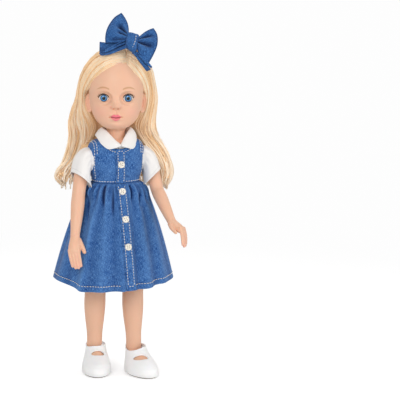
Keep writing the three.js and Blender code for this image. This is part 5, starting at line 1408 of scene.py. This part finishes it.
# Moulded bar shoe: the outside is a stack of level ovals. The ankle opening and the window before the
# strap are cut through, and a thin raised bead runs round both.
def makeUpper(name, sign):
    z = np.concatenate([np.linspace(1.7, 3.0, 6)[:-1], np.linspace(3.0, 28.8, 66)])[:, None]
    turn = wholeTurn(160)
    outline = shoeOutline(name, sign, z)
    heel, ahead, broad = outline[:3]
    points = shoeWall(outline, turn, z)
    upper = surface(name + "ShoeUpper", points, wrap=True)
    modifier(upper, "SOLIDIFY", thickness=0.0014, offset=-1)
    # The window is an oval bar that leans back over the instep. The ankle opening is a tall bar whose
    # lower end dips at the front, so that a strap is left between the two.
    tilt = math.radians(40)
    wayOut = ahead * math.cos(tilt) + upAxis * math.sin(tilt)
    other = np.cross(wayOut, broad)
    t = wholeTurn(96)
    aheadBy, height, aside, slant = window[name]
    centre = heel + ahead * aheadBy + upAxis * height + broad * aside
    square = np.sign(np.cos(t)) * np.abs(np.cos(t)) ** 0.8
    loop = (broad * (windowHalf[0] * square)[:, None]
        + other * (windowHalf[1] * np.sin(t) + slant * np.cos(t))[:, None])
    hole = cutter("window", np.stack([centre + loop, centre + loop + wayOut * 22]))
    saddle = anklePlace[name][0] - anklePlace[name][1] * np.clip(np.sin(t - 0.45), 0, 1) ** 1.5
    ring = lambda grow, height: (heel + np.array([-1.3, 0, 0]) + ahead * 1.0
        + broad * ((8.6 + grow) * np.cos(t))[:, None] + ahead * ((9.6 + grow) * np.sin(t))[:, None]
        + upAxis * np.reshape(height, (-1, 1)))
    ankle = cutter("ankle", np.stack([ring(0, saddle), ring(6, saddle + 16.0)]))
    carve(upper, [hole, ankle])
    dress(upper, shoeVinyl, name + "_leg", [name + "_shoe_upper"])
    # Raised beads: each opening's outline thrown on the outside of the shoe
    count = len(turn)
    faces = [(r * count + c, r * count + (c + 1) % count, (r + 1) * count + (c + 1) % count, (r + 1)
            * count + c) for r in range(len(z) - 1) for c in range(count)]
    outside = BVHTree.FromPolygons([tuple(p) for p in points.reshape(-1, 3)], faces)
    rims = []
    bead = []
    for spot in centre + loop * 1.04 + wayOut * 30:
        hit = outside.ray_cast(Vector(spot), Vector(-wayOut), 60)
        if hit[0] is not None:
            bead.append(np.array(hit[0]))
    bead = np.array(bead + bead[:1])
    rims.append(tubes(name + "WindowBead", spline(bead, 200)[None], 0.75, sides=8))
    top = ring(0.5, saddle + 0.2)
    top = np.concatenate([top, top[:1]])
    rims.append(tubes(name + "AnkleBead", spline(top, 200)[None], 0.8, sides=8))
    dress(joined(name + "ShoeBeads", rims), shoeVinyl, name + "_leg")


def makeSole(name, sign):
    z = np.array([0.0, 0.25, 0.9, 1.35, 1.55])[:, None]
    grow = np.array([-0.55, -0.1, 0.0, -0.1, -0.6])[:, None]
    points = shoeWall(shoeOutline(name, sign, np.array([[1.6]])), wholeTurn(160), z, grow)
    marks = {"shade": np.broadcast_to(0.95 * smoothstep(z, 1.2, 0.4) * smoothstep(z, 0.0, 0.2),
            points.shape[:2])}
    sole = surface(name + "ShoeSole", points, wrap=True, caps=("first", "last"), marks=marks)
    dress(sole, soleRubber, name + "_leg", [name + "_shoe_sole"])


# The foot inside, seen through the window
def makeFoot(name, sign):
    z = np.linspace(3.4, 24.5, 40)[:, None]
    points = shoeWall(shoeOutline(name, sign, z), wholeTurn(160), z, -1.9)
    foot = surface(name + "Foot", points, wrap=True, caps=("first", "last"))
    dress(foot, vinyl, name + "_leg")


makeSkirt()
makeSkirtStitches()
makePlacket()
makeButtons()
makeBlouse()
makeBriefs()
makeFacing()
makeBodice()
for name, sign in signs.items():
    makeSleeve(name, sign)
    makeCollar(name, sign)
    makeUpper(name, sign)
    makeSole(name, sign)
    makeFoot(name, sign)
print("clothes and shoes made")


# Hair

# Each guide runs from its root at the parting, over the head and down to the tips. Points are in the head's
# own frame.
hairGuides = {
    "right": [
        [(10.4, -19.5, 336.7), (-5.4, -24.5, 332.8), (-19.5, -20.9, 321.7), (-27.6, -11.0, 308.9),
            (-30.8, -1.0, 304.6), (-33.0, 10.0, 298.5), (-31.8, 12.5, 288.2), (-27.1, 11.0, 279.8),
            (-23.4, 12.0, 271.9), (-21.2, 14.0, 263.5), (-24.4, 16.0, 252.4), (-31.9, 18.0, 241.2),
            (-38.3, 19.0, 226.8), (-43.7, 19.0, 211.5), (-46.8, 18.0, 196.3)],
        [(10.4, -15.0, 341.6), (-6.5, -21.0, 339.4), (-22.2, -18.5, 328.5), (-31.4, -8.5, 312.4),
            (-34.4, 3.0, 301.9), (-35.6, 9.0, 293.6), (-35.2, 13.0, 283.0), (-32.0, 14.0, 274.3),
            (-28.7, 15.0, 264.4), (-27.7, 17.0, 254.4), (-31.9, 18.0, 242.3), (-38.3, 19.0, 230.1),
            (-44.8, 19.0, 218.1), (-50.1, 18.0, 206.2), (-51.1, 17.0, 194.2)],
        [(10.4, -9.0, 345.6), (-6.6, -15.0, 344.6), (-23.3, -13.0, 336.3), (-34.4, -4.0, 318.3),
            (-37.7, 6.0, 302.1), (-38.9, 12.0, 290.6), (-40.0, 15.0, 279.4), (-39.5, 16.0, 268.5),
            (-37.3, 17.0, 257.6), (-38.4, 18.0, 246.6), (-41.6, 19.0, 235.5), (-46.9, 19.0, 224.6),
            (-53.3, 18.0, 214.9), (-57.6, 17.0, 204.1), (-55.4, 16.0, 195.5)],
        [(10.4, -2.0, 348.2), (-4.5, -7.0, 348.8), (-19.3, -4.0, 343.2), (-33.6, 4.0, 326.9),
            (-39.6, 11.0, 307.9), (-41.8, 14.0, 293.5), (-46.4, 16.0, 281.4), (-49.1, 17.0, 268.3),
            (-48.0, 17.0, 255.3), (-49.6, 18.0, 243.2), (-51.7, 18.0, 232.3), (-54.4, 18.0, 223.6),
            (-60.8, 17.0, 215.0), (-62.4, 16.0, 206.4), (-57.5, 15.0, 199.0)],
        [(10.6, 8.0, 347.9), (-7.0, 5.5, 348.2), (-22.0, 10.0, 340.6), (-33.5, 17.0, 323.0),
            (-37.5, 22.0, 304.0), (-39.5, 25.0, 290.0), (-42.0, 27.0, 277.0), (-43.5, 28.0, 265.0),
            (-43.5, 28.5, 253.0), (-44.5, 28.5, 242.0), (-47.0, 28.0, 231.0), (-49.5, 27.5, 221.0),
            (-52.5, 26.0, 212.0), (-53.0, 25.0, 204.0), (-50.0, 24.0, 197.0)],
        [(10.4, 18.0, 344.4), (-3.0, 19.0, 342.6), (-16.0, 25.5, 333.0), (-24.5, 31.5, 317.0),
            (-27.0, 35.0, 300.0), (-27.5, 36.5, 286.0), (-28.0, 37.5, 273.0), (-28.5, 37.5, 261.0),
            (-28.5, 37.5, 249.0), (-29.0, 37.5, 238.0), (-30.0, 37.0, 227.0), (-31.0, 36.5, 218.0),
            (-32.5, 35.0, 210.0), (-32.0, 33.5, 203.0), (-30.5, 32.5, 196.5)],
        [(10.0, 26.0, 338.0), (4.5, 28.5, 333.5), (0.0, 33.0, 324.0), (-2.5, 37.0, 311.0),
            (-3.0, 39.0, 297.0), (-3.0, 39.5, 284.0), (-3.0, 39.5, 271.0), (-3.0, 39.5, 259.0),
            (-3.0, 39.5, 247.5), (-3.0, 39.5, 236.5), (-3.0, 39.0, 226.0), (-3.0, 38.5, 217.0),
            (-3.5, 37.5, 209.0), (-3.5, 36.0, 202.0), (-3.5, 34.5, 195.5)]],
    "left": [
        [(10.8, -19.5, 336.7), (18.5, -20.0, 326.0), (24.5, -13.4, 316.7), (28.3, -4.0, 307.5),
            (30.4, 4.5, 301.6), (30.4, 10.0, 292.4), (26.7, 11.5, 282.1), (20.4, 12.0, 272.8),
            (19.4, 14.0, 263.9), (23.8, 16.0, 255.0), (31.4, 18.0, 244.9), (38.0, 19.0, 232.9),
            (44.1, 19.0, 219.8), (45.2, 18.0, 207.9), (44.8, 17.0, 196.1)],
        [(10.8, -15.0, 341.6), (21.8, -16.4, 332.9), (29.3, -9.4, 320.5), (32.8, 1.0, 307.6),
            (33.9, 9.0, 298.0), (33.1, 13.0, 286.8), (30.5, 14.0, 276.9), (28.0, 15.0, 267.1),
            (28.1, 17.0, 258.1), (32.5, 18.0, 248.2), (40.1, 19.0, 237.2), (46.7, 19.0, 225.3),
            (50.6, 18.0, 213.5), (49.6, 17.0, 202.7), (47.0, 16.0, 195.2)],
        [(11.2, -9.0, 345.6), (22.8, -12.0, 339.4), (32.5, -5.0, 327.5), (36.5, 4.0, 311.6),
            (38.3, 11.0, 297.9), (37.4, 14.0, 286.7), (35.4, 15.0, 275.8), (33.9, 16.0, 264.8),
            (35.6, 17.0, 256.0), (41.1, 18.0, 247.2), (47.7, 19.0, 236.2), (53.2, 18.0, 224.4),
            (55.4, 17.0, 213.7), (53.9, 16.0, 204.0), (49.1, 15.0, 197.5)],
        [(11.4, -2.0, 348.2), (23.9, -5.0, 343.6), (35.4, 1.0, 331.1), (39.7, 8.0, 315.4),
            (42.9, 14.0, 296.5), (42.3, 16.0, 284.3), (40.3, 17.0, 273.4), (39.8, 17.0, 262.5),
            (43.7, 18.0, 252.7), (49.7, 18.0, 244.0), (55.2, 18.0, 234.2), (58.6, 17.0, 222.4),
            (59.5, 16.0, 211.7), (57.1, 15.0, 203.1), (51.7, 14.0, 197.7)],
        [(11.2, 8.0, 347.9), (21.5, 6.5, 343.8), (31.0, 11.0, 333.0), (36.5, 17.0, 316.0),
            (38.5, 22.0, 300.0), (38.8, 25.0, 287.0), (38.8, 27.0, 275.0), (39.5, 28.0, 264.0),
            (41.0, 28.5, 253.0), (44.0, 28.5, 242.0), (48.0, 28.0, 231.0), (51.0, 27.5, 221.0),
            (52.5, 26.0, 212.0), (51.5, 25.0, 204.0), (48.5, 24.0, 197.0)],
        [(10.6, 18.0, 344.4), (18.0, 19.0, 339.5), (24.0, 24.5, 329.0), (26.5, 30.0, 315.0),
            (27.5, 34.5, 300.0), (27.5, 36.5, 287.0), (27.5, 37.5, 274.0), (27.5, 37.5, 262.0),
            (28.0, 37.5, 250.0), (29.0, 37.5, 239.0), (30.5, 37.0, 228.0), (31.5, 36.5, 218.5),
            (32.0, 35.0, 210.0), (31.5, 33.5, 203.0), (30.0, 32.5, 196.5)],
        [(10.2, 26.0, 338.0), (10.0, 30.0, 332.0), (7.0, 34.5, 322.0), (4.0, 37.5, 310.0),
            (2.5, 39.5, 297.0), (2.0, 39.9, 284.0), (2.0, 39.9, 271.0), (2.0, 39.9, 259.0),
            (2.0, 39.9, 247.5), (2.0, 39.9, 236.5), (2.0, 39.4, 226.0), (2.0, 38.9, 217.0),
            (2.0, 37.9, 209.0), (2.0, 36.4, 202.0), (2.0, 34.9, 195.5)]]}
hairLook = {"locks": 34, "perLock": 42, "loose": 160, "steps": 29, "strand": 0.34, "relief": 2.1,
    "curl": 4.0}


# The surface that the guides make: place(s, v) with s from the hairline (0) to the back (1) and v
# from root (0) to tip (1).
class HairField:

    def __init__(self, guides, sign):
        along = np.swapaxes(np.stack([spline(guide, 121) for guide in guides]), 0, 1)
        across = spline(np.swapaxes(along, 0, 1), 97)
        self.grid = turned(across)
        ds, dv = np.gradient(self.grid, axis=0), np.gradient(self.grid, axis=1)
        normal = unit(np.cross(ds, dv)) * -sign
        middle = turned(np.array([0.0, 4.0, 0.0]))
        core = np.broadcast_arrays(middle[0], middle[1], np.clip(self.grid[..., 2], 200, 312))
        outward = self.grid - np.stack(core, axis=-1)
        self.normal = unit(normal * 0.8 + unit(outward) * 0.35 * smoothstep(self.grid[..., 2:], 288, 306))
        self.side = unit(ds)

    def sample(self, field, s, v):
        s = np.clip(s, 0, 1) * (field.shape[0] - 1)
        v = np.clip(v, 0, 1) * (field.shape[1] - 1)
        i, j = np.minimum(s.astype(int), field.shape[0] - 2), np.minimum(v.astype(int), field.shape[1] - 2)
        a, b = (s - i)[..., None], (v - j)[..., None]
        return (field[i, j] * (1 - a) * (1 - b) + field[i + 1, j] * a * (1 - b) + field[i, j + 1] * (1 - a)
            * b + field[i + 1, j + 1] * a * b)

    def place(self, s, v, out=0.0, sideways=0.0):
        out, sideways = np.asarray(out)[..., None], np.asarray(sideways)[..., None]
        return (self.sample(self.grid, s, v) + self.sample(self.normal, s, v) * out
            + self.sample(self.side, s, v) * sideways)


# Painted shade: hair near the neck and under the chin lies in shadow, so it is painted golden brown there.
def deepTone(points):
    local = turned(points, -headTurn)
    x, y, z = local[..., 0], local[..., 1], local[..., 2]
    inner = (smoothstep(np.abs(x), 36, 24) * smoothstep(z, 238, 252) * smoothstep(z, 300, 284)
        * smoothstep(y, 24, 16))
    return inner


def blendHair(piece):
    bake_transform(piece)


# Each side is a smooth underlayer and a row of locks over it. A lock is a bundle of strands with a round
# back: it stands out by relief * sqrt(1 - d^2), where d runs from -1 to 1 across it. Below the ears it
# gathers, waves from side to side and ends in a ringlet.
def growHair(name, sign, seed):
    rng = np.random.default_rng(seed)
    field = HairField(hairGuides[name], sign)
    s, v = np.linspace(0, 1, 141)[:, None], np.linspace(0, 0.89, 80)[None]
    wander = 0.012 * np.sin(v * 9 + s * 14) + 0.008 * np.sin(v * 23 + s * 31)
    ridge = 0.5 * np.cos((s + wander) * 2 * math.pi * hairLook["locks"]) * smoothstep(v, 0.02, 0.15)
    edge = smoothstep(s, 0, 0.03)
    sunk = 1.3 + 0.7 * (1 - edge) + 2.4 * smoothstep(v, 0.30, 0.62)
    points = field.place(s + 0 * v, v + 0 * s, ridge * edge - sunk)
    # Painted shade on the underlayer, stronger toward the tips, and a painted highlight along its ridges
    deep = np.clip(deepTone(points) + 0.15 * smoothstep(v, 0.1, 0.5) + 0.1, 0, 1)
    uv = np.stack(np.broadcast_arrays(s * 180, v * 190), axis=-1)
    under = surface(name + "HairBase", points, uv=uv, flip=sign < 0,
        marks={"tone": 0.45 + 0.16 * ridge, "deep": deep})
    modifier(under, "SOLIDIFY", thickness=0.0022, offset=-1)
    bake(under)
    nodes = {"right": ["hair_crown_right", "hair_curls_right"],
        "left": ["hair_crown_left", "hair_curls_left", "hair_back", "hair_length_back"]}
    dress(under, hairNylon, replaces=nodes[name])
    blendHair(under)

    count, per, steps = hairLook["locks"], hairLook["perLock"], hairLook["steps"]
    v = np.linspace(0, 1, steps)[None, None] * rng.uniform(0.93, 1.0, (count, 1, 1))
    lock = ((np.arange(count) + 0.5 + rng.uniform(-0.22, 0.22, count)) / count)[:, None, None] ** 1.1
    half = 0.62 / count * rng.uniform(0.85, 1.3, (count, 1, 1))
    across = rng.uniform(-1, 1, (count, per, 1))
    across = np.clip(across + 0.07 * np.sin(v * rng.uniform(4, 9, (count, per, 1))
            + rng.uniform(0, 6.3, (count, per, 1))), -1, 1)
    low = smoothstep(v, 0.36, 0.62)
    gathered = mix(1.0, rng.uniform(0.62, 0.95, (count, 1, 1)), low)
    back = np.sqrt(np.clip(1 - across**2, 0, 1))
    layer = rng.uniform(-0.5, 0.9, (count, 1, 1)) * smoothstep(v, 0.0, 0.3)
    depth = rng.uniform(0, 1, (count, per, 1)) ** 0.5
    wave = (rng.uniform(0, 6.3, (count, 1, 1)) * 0.35 + 1.3 * np.sin(lock * 9)
        + v * rng.uniform(14, 18, (count, 1, 1)))
    sway = low * rng.uniform(0.8, 2.1, (count, 1, 1))
    curl = hairLook["curl"] * smoothstep(v, 0.70, 0.98) * rng.uniform(0.35, 1.15, (count, 1, 1))
    twist = rng.uniform(0, 6.3, (count, 1, 1)) + v**1.6 * rng.uniform(10, 14, (count, 1, 1))
    sideways = sway * np.sin(wave) + curl * np.cos(twist)
    out = -0.6 + hairLook["relief"] * back * depth * mix(0.85, 1.0, low) * smoothstep(v, 0.0, 0.12)
    out = out + layer + 0.5 * low + 0.6 * sway * np.cos(wave) + 0.8 * curl * (0.4 + np.sin(twist))
    near = smoothstep(lock, 0.0, 0.05)
    s = np.broadcast_to(lock + half * across * gathered * mix(0.35, 1.0, smoothstep(v, 0.0, 0.06)),
        out.shape)
    path = field.place(s, np.broadcast_to(v, out.shape), out * mix(0.6, 1.0, near),
        sideways * mix(0.4, 1.0, near))
    path = path.reshape(count * per, steps, 3)
    away = field.sample(field.normal, s, np.broadcast_to(v, out.shape)).reshape(count * per, steps, 3)
    # Besides the random tone of each lock and strand, painted light: each lock's crest is lighter, and the
    # lower hair and the tips are lighter so that they don't lie too dark among the strands. The gap paints
    # shade at each lock's edges and on the strands beneath, less at the tips.
    tone = (0.2 * low + rng.normal(0.50, 0.18, (count, 1, 1)) + rng.normal(0, 0.18, (count, per, 1))
        + 0.30 * (back - 0.75))
    tips = smoothstep(v, 0.62, 0.92)
    tone = np.clip(tone + 0.08 * np.sin(v * 17 + lock * 50) * low + 0.35 * tips, 0, 1).reshape(count * per,
        steps)
    gap = smoothstep(np.abs(across), 0.72, 1.0) * 0.55 + 0.45 * (1 - depth) * np.ones_like(v)
    gap = gap * mix(1.0, 0.25, tips)
    deep = np.clip(deepTone(path) * rng.uniform(0.45, 1.0, (count * per, 1))
        + gap.reshape(count * per, steps) * 0.5, 0, 1)
    taper = np.clip(1.15 - np.linspace(0, 1, steps) ** 6, 0.25, 1)
    radius = hairLook["strand"] * rng.uniform(0.8, 1.25, (count * per, 1)) * taper
    cut = count * per // 2
    for part, chosen in (("A", slice(0, cut)), ("B", slice(cut, None))):
        piece = tubes(f"{name}Hair{part}", path[chosen], radius[chosen], outward=away[chosen],
            marks={"tone": tone[chosen], "deep": deep[chosen]})
        dress(piece, hairNylon)
        blendHair(piece)

    # Loose strands that stray from the locks
    count = hairLook["loose"]
    v = np.linspace(0, 1, steps)[None] * rng.uniform(0.8, 1.0, (count, 1))
    start = rng.uniform(0.0, 1, (count, 1)) ** 0.8
    stray = rng.uniform(0.4, 2.2, (count, 1)) * smoothstep(v, 0.1, 0.6)
    waves = np.sin(v * rng.uniform(6, 12, (count, 1)) + rng.uniform(0, 6.3, (count, 1)))
    out = 0.8 + stray * (0.6 + 0.6 * waves)
    sideways = stray * 1.4 * np.sin(v * rng.uniform(7, 15, (count, 1)) + rng.uniform(0, 6.3, (count, 1)))
    path = field.place(np.broadcast_to(start, out.shape), v, out * smoothstep(v, 0, 0.1), sideways)
    marks = {"tone": rng.uniform(0.6, 1, (count, 1)), "deep": deepTone(path) * 0.5}
    piece = tubes(name + "HairLoose", path, 0.13, marks=marks)
    dress(piece, hairNylon)
    blendHair(piece)


growHair("right", -1, 11)
growHair("left", 1, 12)
print("hair made")


# Bow

bowPlace = {"centre": (19.0, -15.0, 356.0), "lean": 28.0}


# From the bow's own plane (right, up, and height toward the viewer) to the head's frame.
def bowPoint(flat, height):
    lean = math.radians(bowPlace["lean"])
    right = np.array([1.0, 0, 0])
    up = np.array([0, math.sin(lean), math.cos(lean)])
    toward = np.array([0, -math.cos(lean), math.sin(lean)])
    place = (np.array(bowPlace["centre"]) + flat[..., :1] * right + flat[..., 1:] * up
        + np.asarray(height)[..., None] * toward)
    return turned(place)


# A lobe spreads from the knot (u = 0) to its outer edge (u = 1), v from -1 to 1 across.
def fanPoint(shape, u, v):
    t = (v + 1) / 2
    edge = spline(shape["edge"], 201)
    knot = spline(shape["knot"], 201)
    outer = np.stack([np.interp(t, np.linspace(0, 1, 201), edge[:, k]) for k in (0, 1)], axis=-1)
    inner = np.stack([np.interp(t, np.linspace(0, 1, 201), knot[:, k]) for k in (0, 1)], axis=-1)
    flat = mix(inner, outer, u[..., None])
    bulge = np.sin(math.pi * u)[..., None]
    first, last = np.clip(-v, 0, 1)[..., None] ** 2, np.clip(v, 0, 1)[..., None] ** 2
    return flat + bulge * (first * np.array(shape["bulge"][0]) + last * np.array(shape["bulge"][1]))


lobes = {
    "right": {"edge": [(-13.8, 33.9), (-21.0, 29.3), (-26.3, 21.2), (-29.3, 13.2), (-30.4, 6.5),
            (-30.3, 0.9)], "knot": [(-6.4, 9.5), (-6.8, 7.0), (-7.2, 4.0)],
        "bulge": ((2.6, 0.4), (0.6, -1.6)), "height": 0.5, "puff": 4.2,
        "folds": ((-0.42, 0.22, 0.80, 5.6), (0.06, 0.17, 0.60, 4.0), (0.72, 0.13, 1.0, 2.8)),
        "ridges": ((-0.66, 0.18, 0.9, 1.6), (-0.16, 0.14, 0.9, 2.0), (0.36, 0.25, 0.8, 1.4))},
    "left": {"edge": [(19.7, 16.9), (23.0, 11.9), (24.1, 5.4), (23.3, -3.0), (19.7, -11.9), (14.3, -21.9)],
        "knot": [(3.4, 5.4), (2.9, 2.0), (1.9, -1.5)],
        "bulge": ((-0.6, 1.4), (-1.9, -2.2)), "height": 0.5, "puff": 3.8,
        "folds": ((-0.48, 0.16, 0.95, 4.4), (0.26, 0.18, 1.0, 4.8), (-0.05, 0.06, 0.4, 0.8)),
        "ridges": ((-0.12, 0.18, 0.8, 1.5), (0.62, 0.18, 1.0, 1.9))}}


# Two layers of denim sewn at the edge. Grooves and ridges run out from the knot: height = puff *
# sqrt(1 - v^2) less each groove exp(-((v - place) / width)^2).
def makeLobe(name, shape, node):
    v = np.sin(np.linspace(-math.pi / 2, math.pi / 2, 131)) * 0.5 + np.linspace(-1, 1, 131) * 0.5
    u = np.concatenate([np.linspace(0, 0.93, 60)[:-1], np.linspace(0.93, 1.0, 12)])[:, None]
    u, v = np.broadcast_arrays(u, v)
    flat = fanPoint(shape, u, v)
    puff = (shape["puff"] * np.clip(1 - np.abs(v) ** 2.6, 0, 1) ** 0.6
        * (0.35 + 0.65 * np.sin(np.clip(u * 1.05, 0, 1) * math.pi) ** 0.7))
    puff = puff * smoothstep(u, 1.0, 0.90) ** 0.5
    groove = sum(deep * np.exp(-((v - place) / (width * (0.55 + 0.75 * u))) ** 2) * smoothstep(u, reach,
            reach * 0.55) for place, width, reach, deep in shape["folds"])
    ridge = sum(tall * np.exp(-((v - place) / (width * (0.5 + 0.7 * u))) ** 2) * smoothstep(u, reach * 1.1,
            reach * 0.3) for place, width, reach, tall in shape["ridges"])
    border = np.maximum(smoothstep(np.abs(v), 0.955, 0.985), smoothstep(u, 0.965, 0.985))
    inside = smoothstep(np.abs(v), 1.0, 0.9) * smoothstep(u, 1.0, 0.9)
    height = puff + (ridge - groove) * inside + 0.7 * border
    waves = 1.2 * np.sin(v * 4.2 + 0.6) * u**2
    middle = shape["height"] + waves
    front = bowPoint(flat, middle + np.maximum(height, -1.6) + 0.5)
    back = bowPoint(flat, middle - 0.5 - 0.35 * puff)
    points = np.concatenate([front, back[::-1]])
    # Painted shade in the grooves and along the sewn border, and painted highlight on the ridges
    shadow = np.clip(0.22 * groove * inside + 0.5 * border, 0, 1)
    shadow = np.concatenate([shadow, 0 * shadow])
    wearAndHighlight = np.concatenate([0.35 * np.clip(ridge / 1.6, 0, 1) * inside, 0 * ridge])
    run = np.concatenate([u * 30, (2 - u[::-1]) * 30])
    uv = np.stack([np.concatenate([v * 18, v[::-1] * 18]), run], axis=-1)
    # closing the sides: the first and last columns of front and back meet in a small gap that the
    # solidified rim fills
    lobe = surface(name, points, uv=uv, marks={"shade": shadow, "wearAndHighlight": wearAndHighlight})
    modifier(lobe, "SOLIDIFY", thickness=0.0007, offset=0)
    bake(lobe)
    dress(lobe, bowDenim, "head", [node])


# A loose end of the bow: flat near its top edge, with ribs rolled along its lower edge.
def makeTail(name, edgeTop, edgeLow, ribs, node, height):
    u = np.linspace(0, 1, 90)[:, None]
    v = np.linspace(0, 1, 81)
    top, low = spline(edgeTop, 90)[:, None], spline(edgeLow, 90)[:, None]
    u, v = np.broadcast_arrays(u, v)
    flat = mix(top, low, v[..., None])
    rib = sum(tall * bell(v, place, width) for place, width, tall in ribs)
    h = height[0] + (height[1] - height[0]) * v + rib + 0.5 * np.sin(u * 5 + v * 3)
    uv = np.stack([v * 16, u * 30], axis=-1)
    # Painted shade along the border, in the groove beside each rib and over the lower part, and painted
    # highlight on the ribs
    border = np.maximum(smoothstep(u, 0.965, 0.99),
        np.maximum(smoothstep(v, 0.05, 0.02), smoothstep(v, 0.95, 0.98)))
    groove = sum(np.exp(-((v - place - width * 1.6) / (width * 0.5)) ** 2) for place, width, tall in ribs)
    piece = surface(name, bowPoint(flat, h), uv=uv,
        marks={"shade": np.clip(0.45 * border + 0.6 * groove + 0.5 * smoothstep(v, 0.3, 0.55), 0, 1),
            "wearAndHighlight": np.clip(0.25 * rib, 0, 1)})
    modifier(piece, "SOLIDIFY", thickness=0.0016, offset=0)
    bake(piece)
    dress(piece, bowDenim, "head", [node])


# The rolled edges of the loose ends: each roll is a soft bar along a line of the bow's plane. A roll has
# its line, its radii and its height over the plane.
def makeRolls(name, rolls):
    paths, radii = [], []
    for line, sizes, height in rolls:
        flat = spline(line, 40)
        paths.append(bowPoint(flat, height + 0.4 * np.sin(np.linspace(0, 9, 40))))
        radii.append(spline([(size,) for size in sizes], 40)[:, 0])
    rolled = tubes(name, np.stack(paths), np.stack(radii), sides=20, flatness=0.8)
    for key in ("shade", "wearAndHighlight"):
        rolled.data.attributes.new(key, "FLOAT", "POINT")
    dress(rolled, bowDenim, "head")


# The band wrapped round the middle. Its outline is a smooth closed curve, domed by sqrt(1 - r^3),
# with two long dents.
def makeKnot():
    outline = np.array([(-7.8, 11.7), (-4.9, 12.2), (-2.0, 11.8), (1.2, 10.6), (3.8, 9.8), (5.1, 7.7),
            (3.9, 2.4), (2.8, -5.2), (1.5, -8.9), (-1.0, -10.5), (-5.0, -8.4), (-9.2, -3.6), (-9.2, 3.3)])
    closed = np.concatenate([outline[-3:], outline, outline[:4]])
    smooth = spline(closed, len(closed) * 12)
    smooth = smooth[3 * 12 + 2: 3 * 12 + 2 + len(outline) * 12 + 4]
    ring = smooth[::1]
    centre = ring.mean(0)
    r = np.concatenate([np.linspace(0.02, 1, 50), np.linspace(1, 0.02, 12)[1:]])[:, None]
    isFront = (np.arange(len(r)) < 50)[:, None]
    flat = centre + (ring - centre)[None] * r[..., None]
    dome = np.sqrt(np.clip(1 - r**3.2, 0, 1))
    across = flat[..., 0] - centre[0] + 0.12 * flat[..., 1]
    dents = -0.9 * np.exp(-((across + 3.0) / 1.3) ** 2) - 0.5 * bell(across, 1.4, 1.0)
    height = np.where(isFront, 1.0 + 6.0 * dome + dents * (1 - r**4), -3.0 * dome)
    uv = np.stack([flat[..., 0] * 1.2, flat[..., 1]], axis=-1)
    uv = np.concatenate([uv, uv[:, :1]], axis=1)
    # Painted shade toward the knot's rim, and painted highlight toward the top of its dome
    knot = surface("bowKnot", bowPoint(flat, height), wrap=True, caps=("first", "last"), uv=uv,
        marks={"shade": 0.25 * r**6 * np.ones_like(dents), "wearAndHighlight": 0.2 * (1 - r) * np.ones_like(dents)})
    dress(knot, bowDenim, "head", ["bow_knot"])
    line = spline([(1.6, 8.2), (1.2, 3.0), (-0.2, -2.0), (-2.4, -7.6)], 60)
    radius = np.linalg.norm(line - centre, axis=1) / 11.5
    path = bowPoint(line, 1.0 + 6.0 * np.sqrt(np.clip(1 - radius**3.2, 0, 1)) - 0.2)
    toward = turned(np.array([0, -math.cos(math.radians(28)), math.sin(math.radians(28))]))
    dress(stitchRow("knotStitches", path, np.tile(toward, (60, 1))), thread, "head")


makeLobe("bowLobeRight", lobes["right"], "bow_loop_right")
makeLobe("bowLobeLeft", lobes["left"], "bow_loop_left")
makeTail("bowTailRight", [(-8.0, 4.5), (-20.0, 1.6), (-36.6, 2.9)],
    [(-8.2, -2.6), (-17.2, -6.5), (-25.6, -10.6), (-33.5, -14.0), (-36.5, -12.2)],
    ((0.97, 0.05, 1.2),), "bow_tail_right", (-3.2, 0.6))
makeTail("bowTailLeft", [(-0.5, -8.0), (3.8, -12.6), (10.8, -19.6), (17.0, -27.4)],
    [(-2.5, -9.5), (1.0, -12.5), (7.0, -21.6), (13.2, -30.2)],
    ((0.5, 0.16, 1.4), (0.92, 0.08, 0.9)), "bow_tail_left", (-2.6, -1.6))
makeRolls("bowTailRolls", (
        ([(-8.2, 3.6), (-17.8, -0.8), (-26.0, -6.0), (-31.0, -8.4)], [0.8, 1.2, 1.2, 0.5], 1.5),
        ([(-8.0, 0.8), (-18.8, -4.2), (-28.0, -9.0), (-33.2, -10.9)], [0.8, 1.2, 1.3, 0.6], 2.2),
        ([(-6.6, -3.4), (-18.0, -8.4), (-27.5, -12.0), (-34.2, -13.3)], [1.8, 1.2, 1.2, 0.9], 1.0),
        ([(0.8, -8.6), (8.0, -15.6), (13.4, -21.6), (18.0, -26.6)], [0.9, 1.9, 2.1, 1.2], 0.2),
        ([(-0.6, -9.8), (6.0, -18.0), (11.2, -24.2), (14.8, -27.6)], [0.9, 1.6, 1.7, 1.0], -1.4)))
makeKnot()

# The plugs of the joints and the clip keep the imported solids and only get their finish
for piece in list(bpy.context.scene.objects):
    if piece.name.endswith("_plug"):
        piece.data.materials.clear()
        piece.data.materials.append(plugPlastic)
    if piece.name == "bow_clip":
        piece.data.materials.clear()
        piece.data.materials.append(clipSteel)
print("bow made")
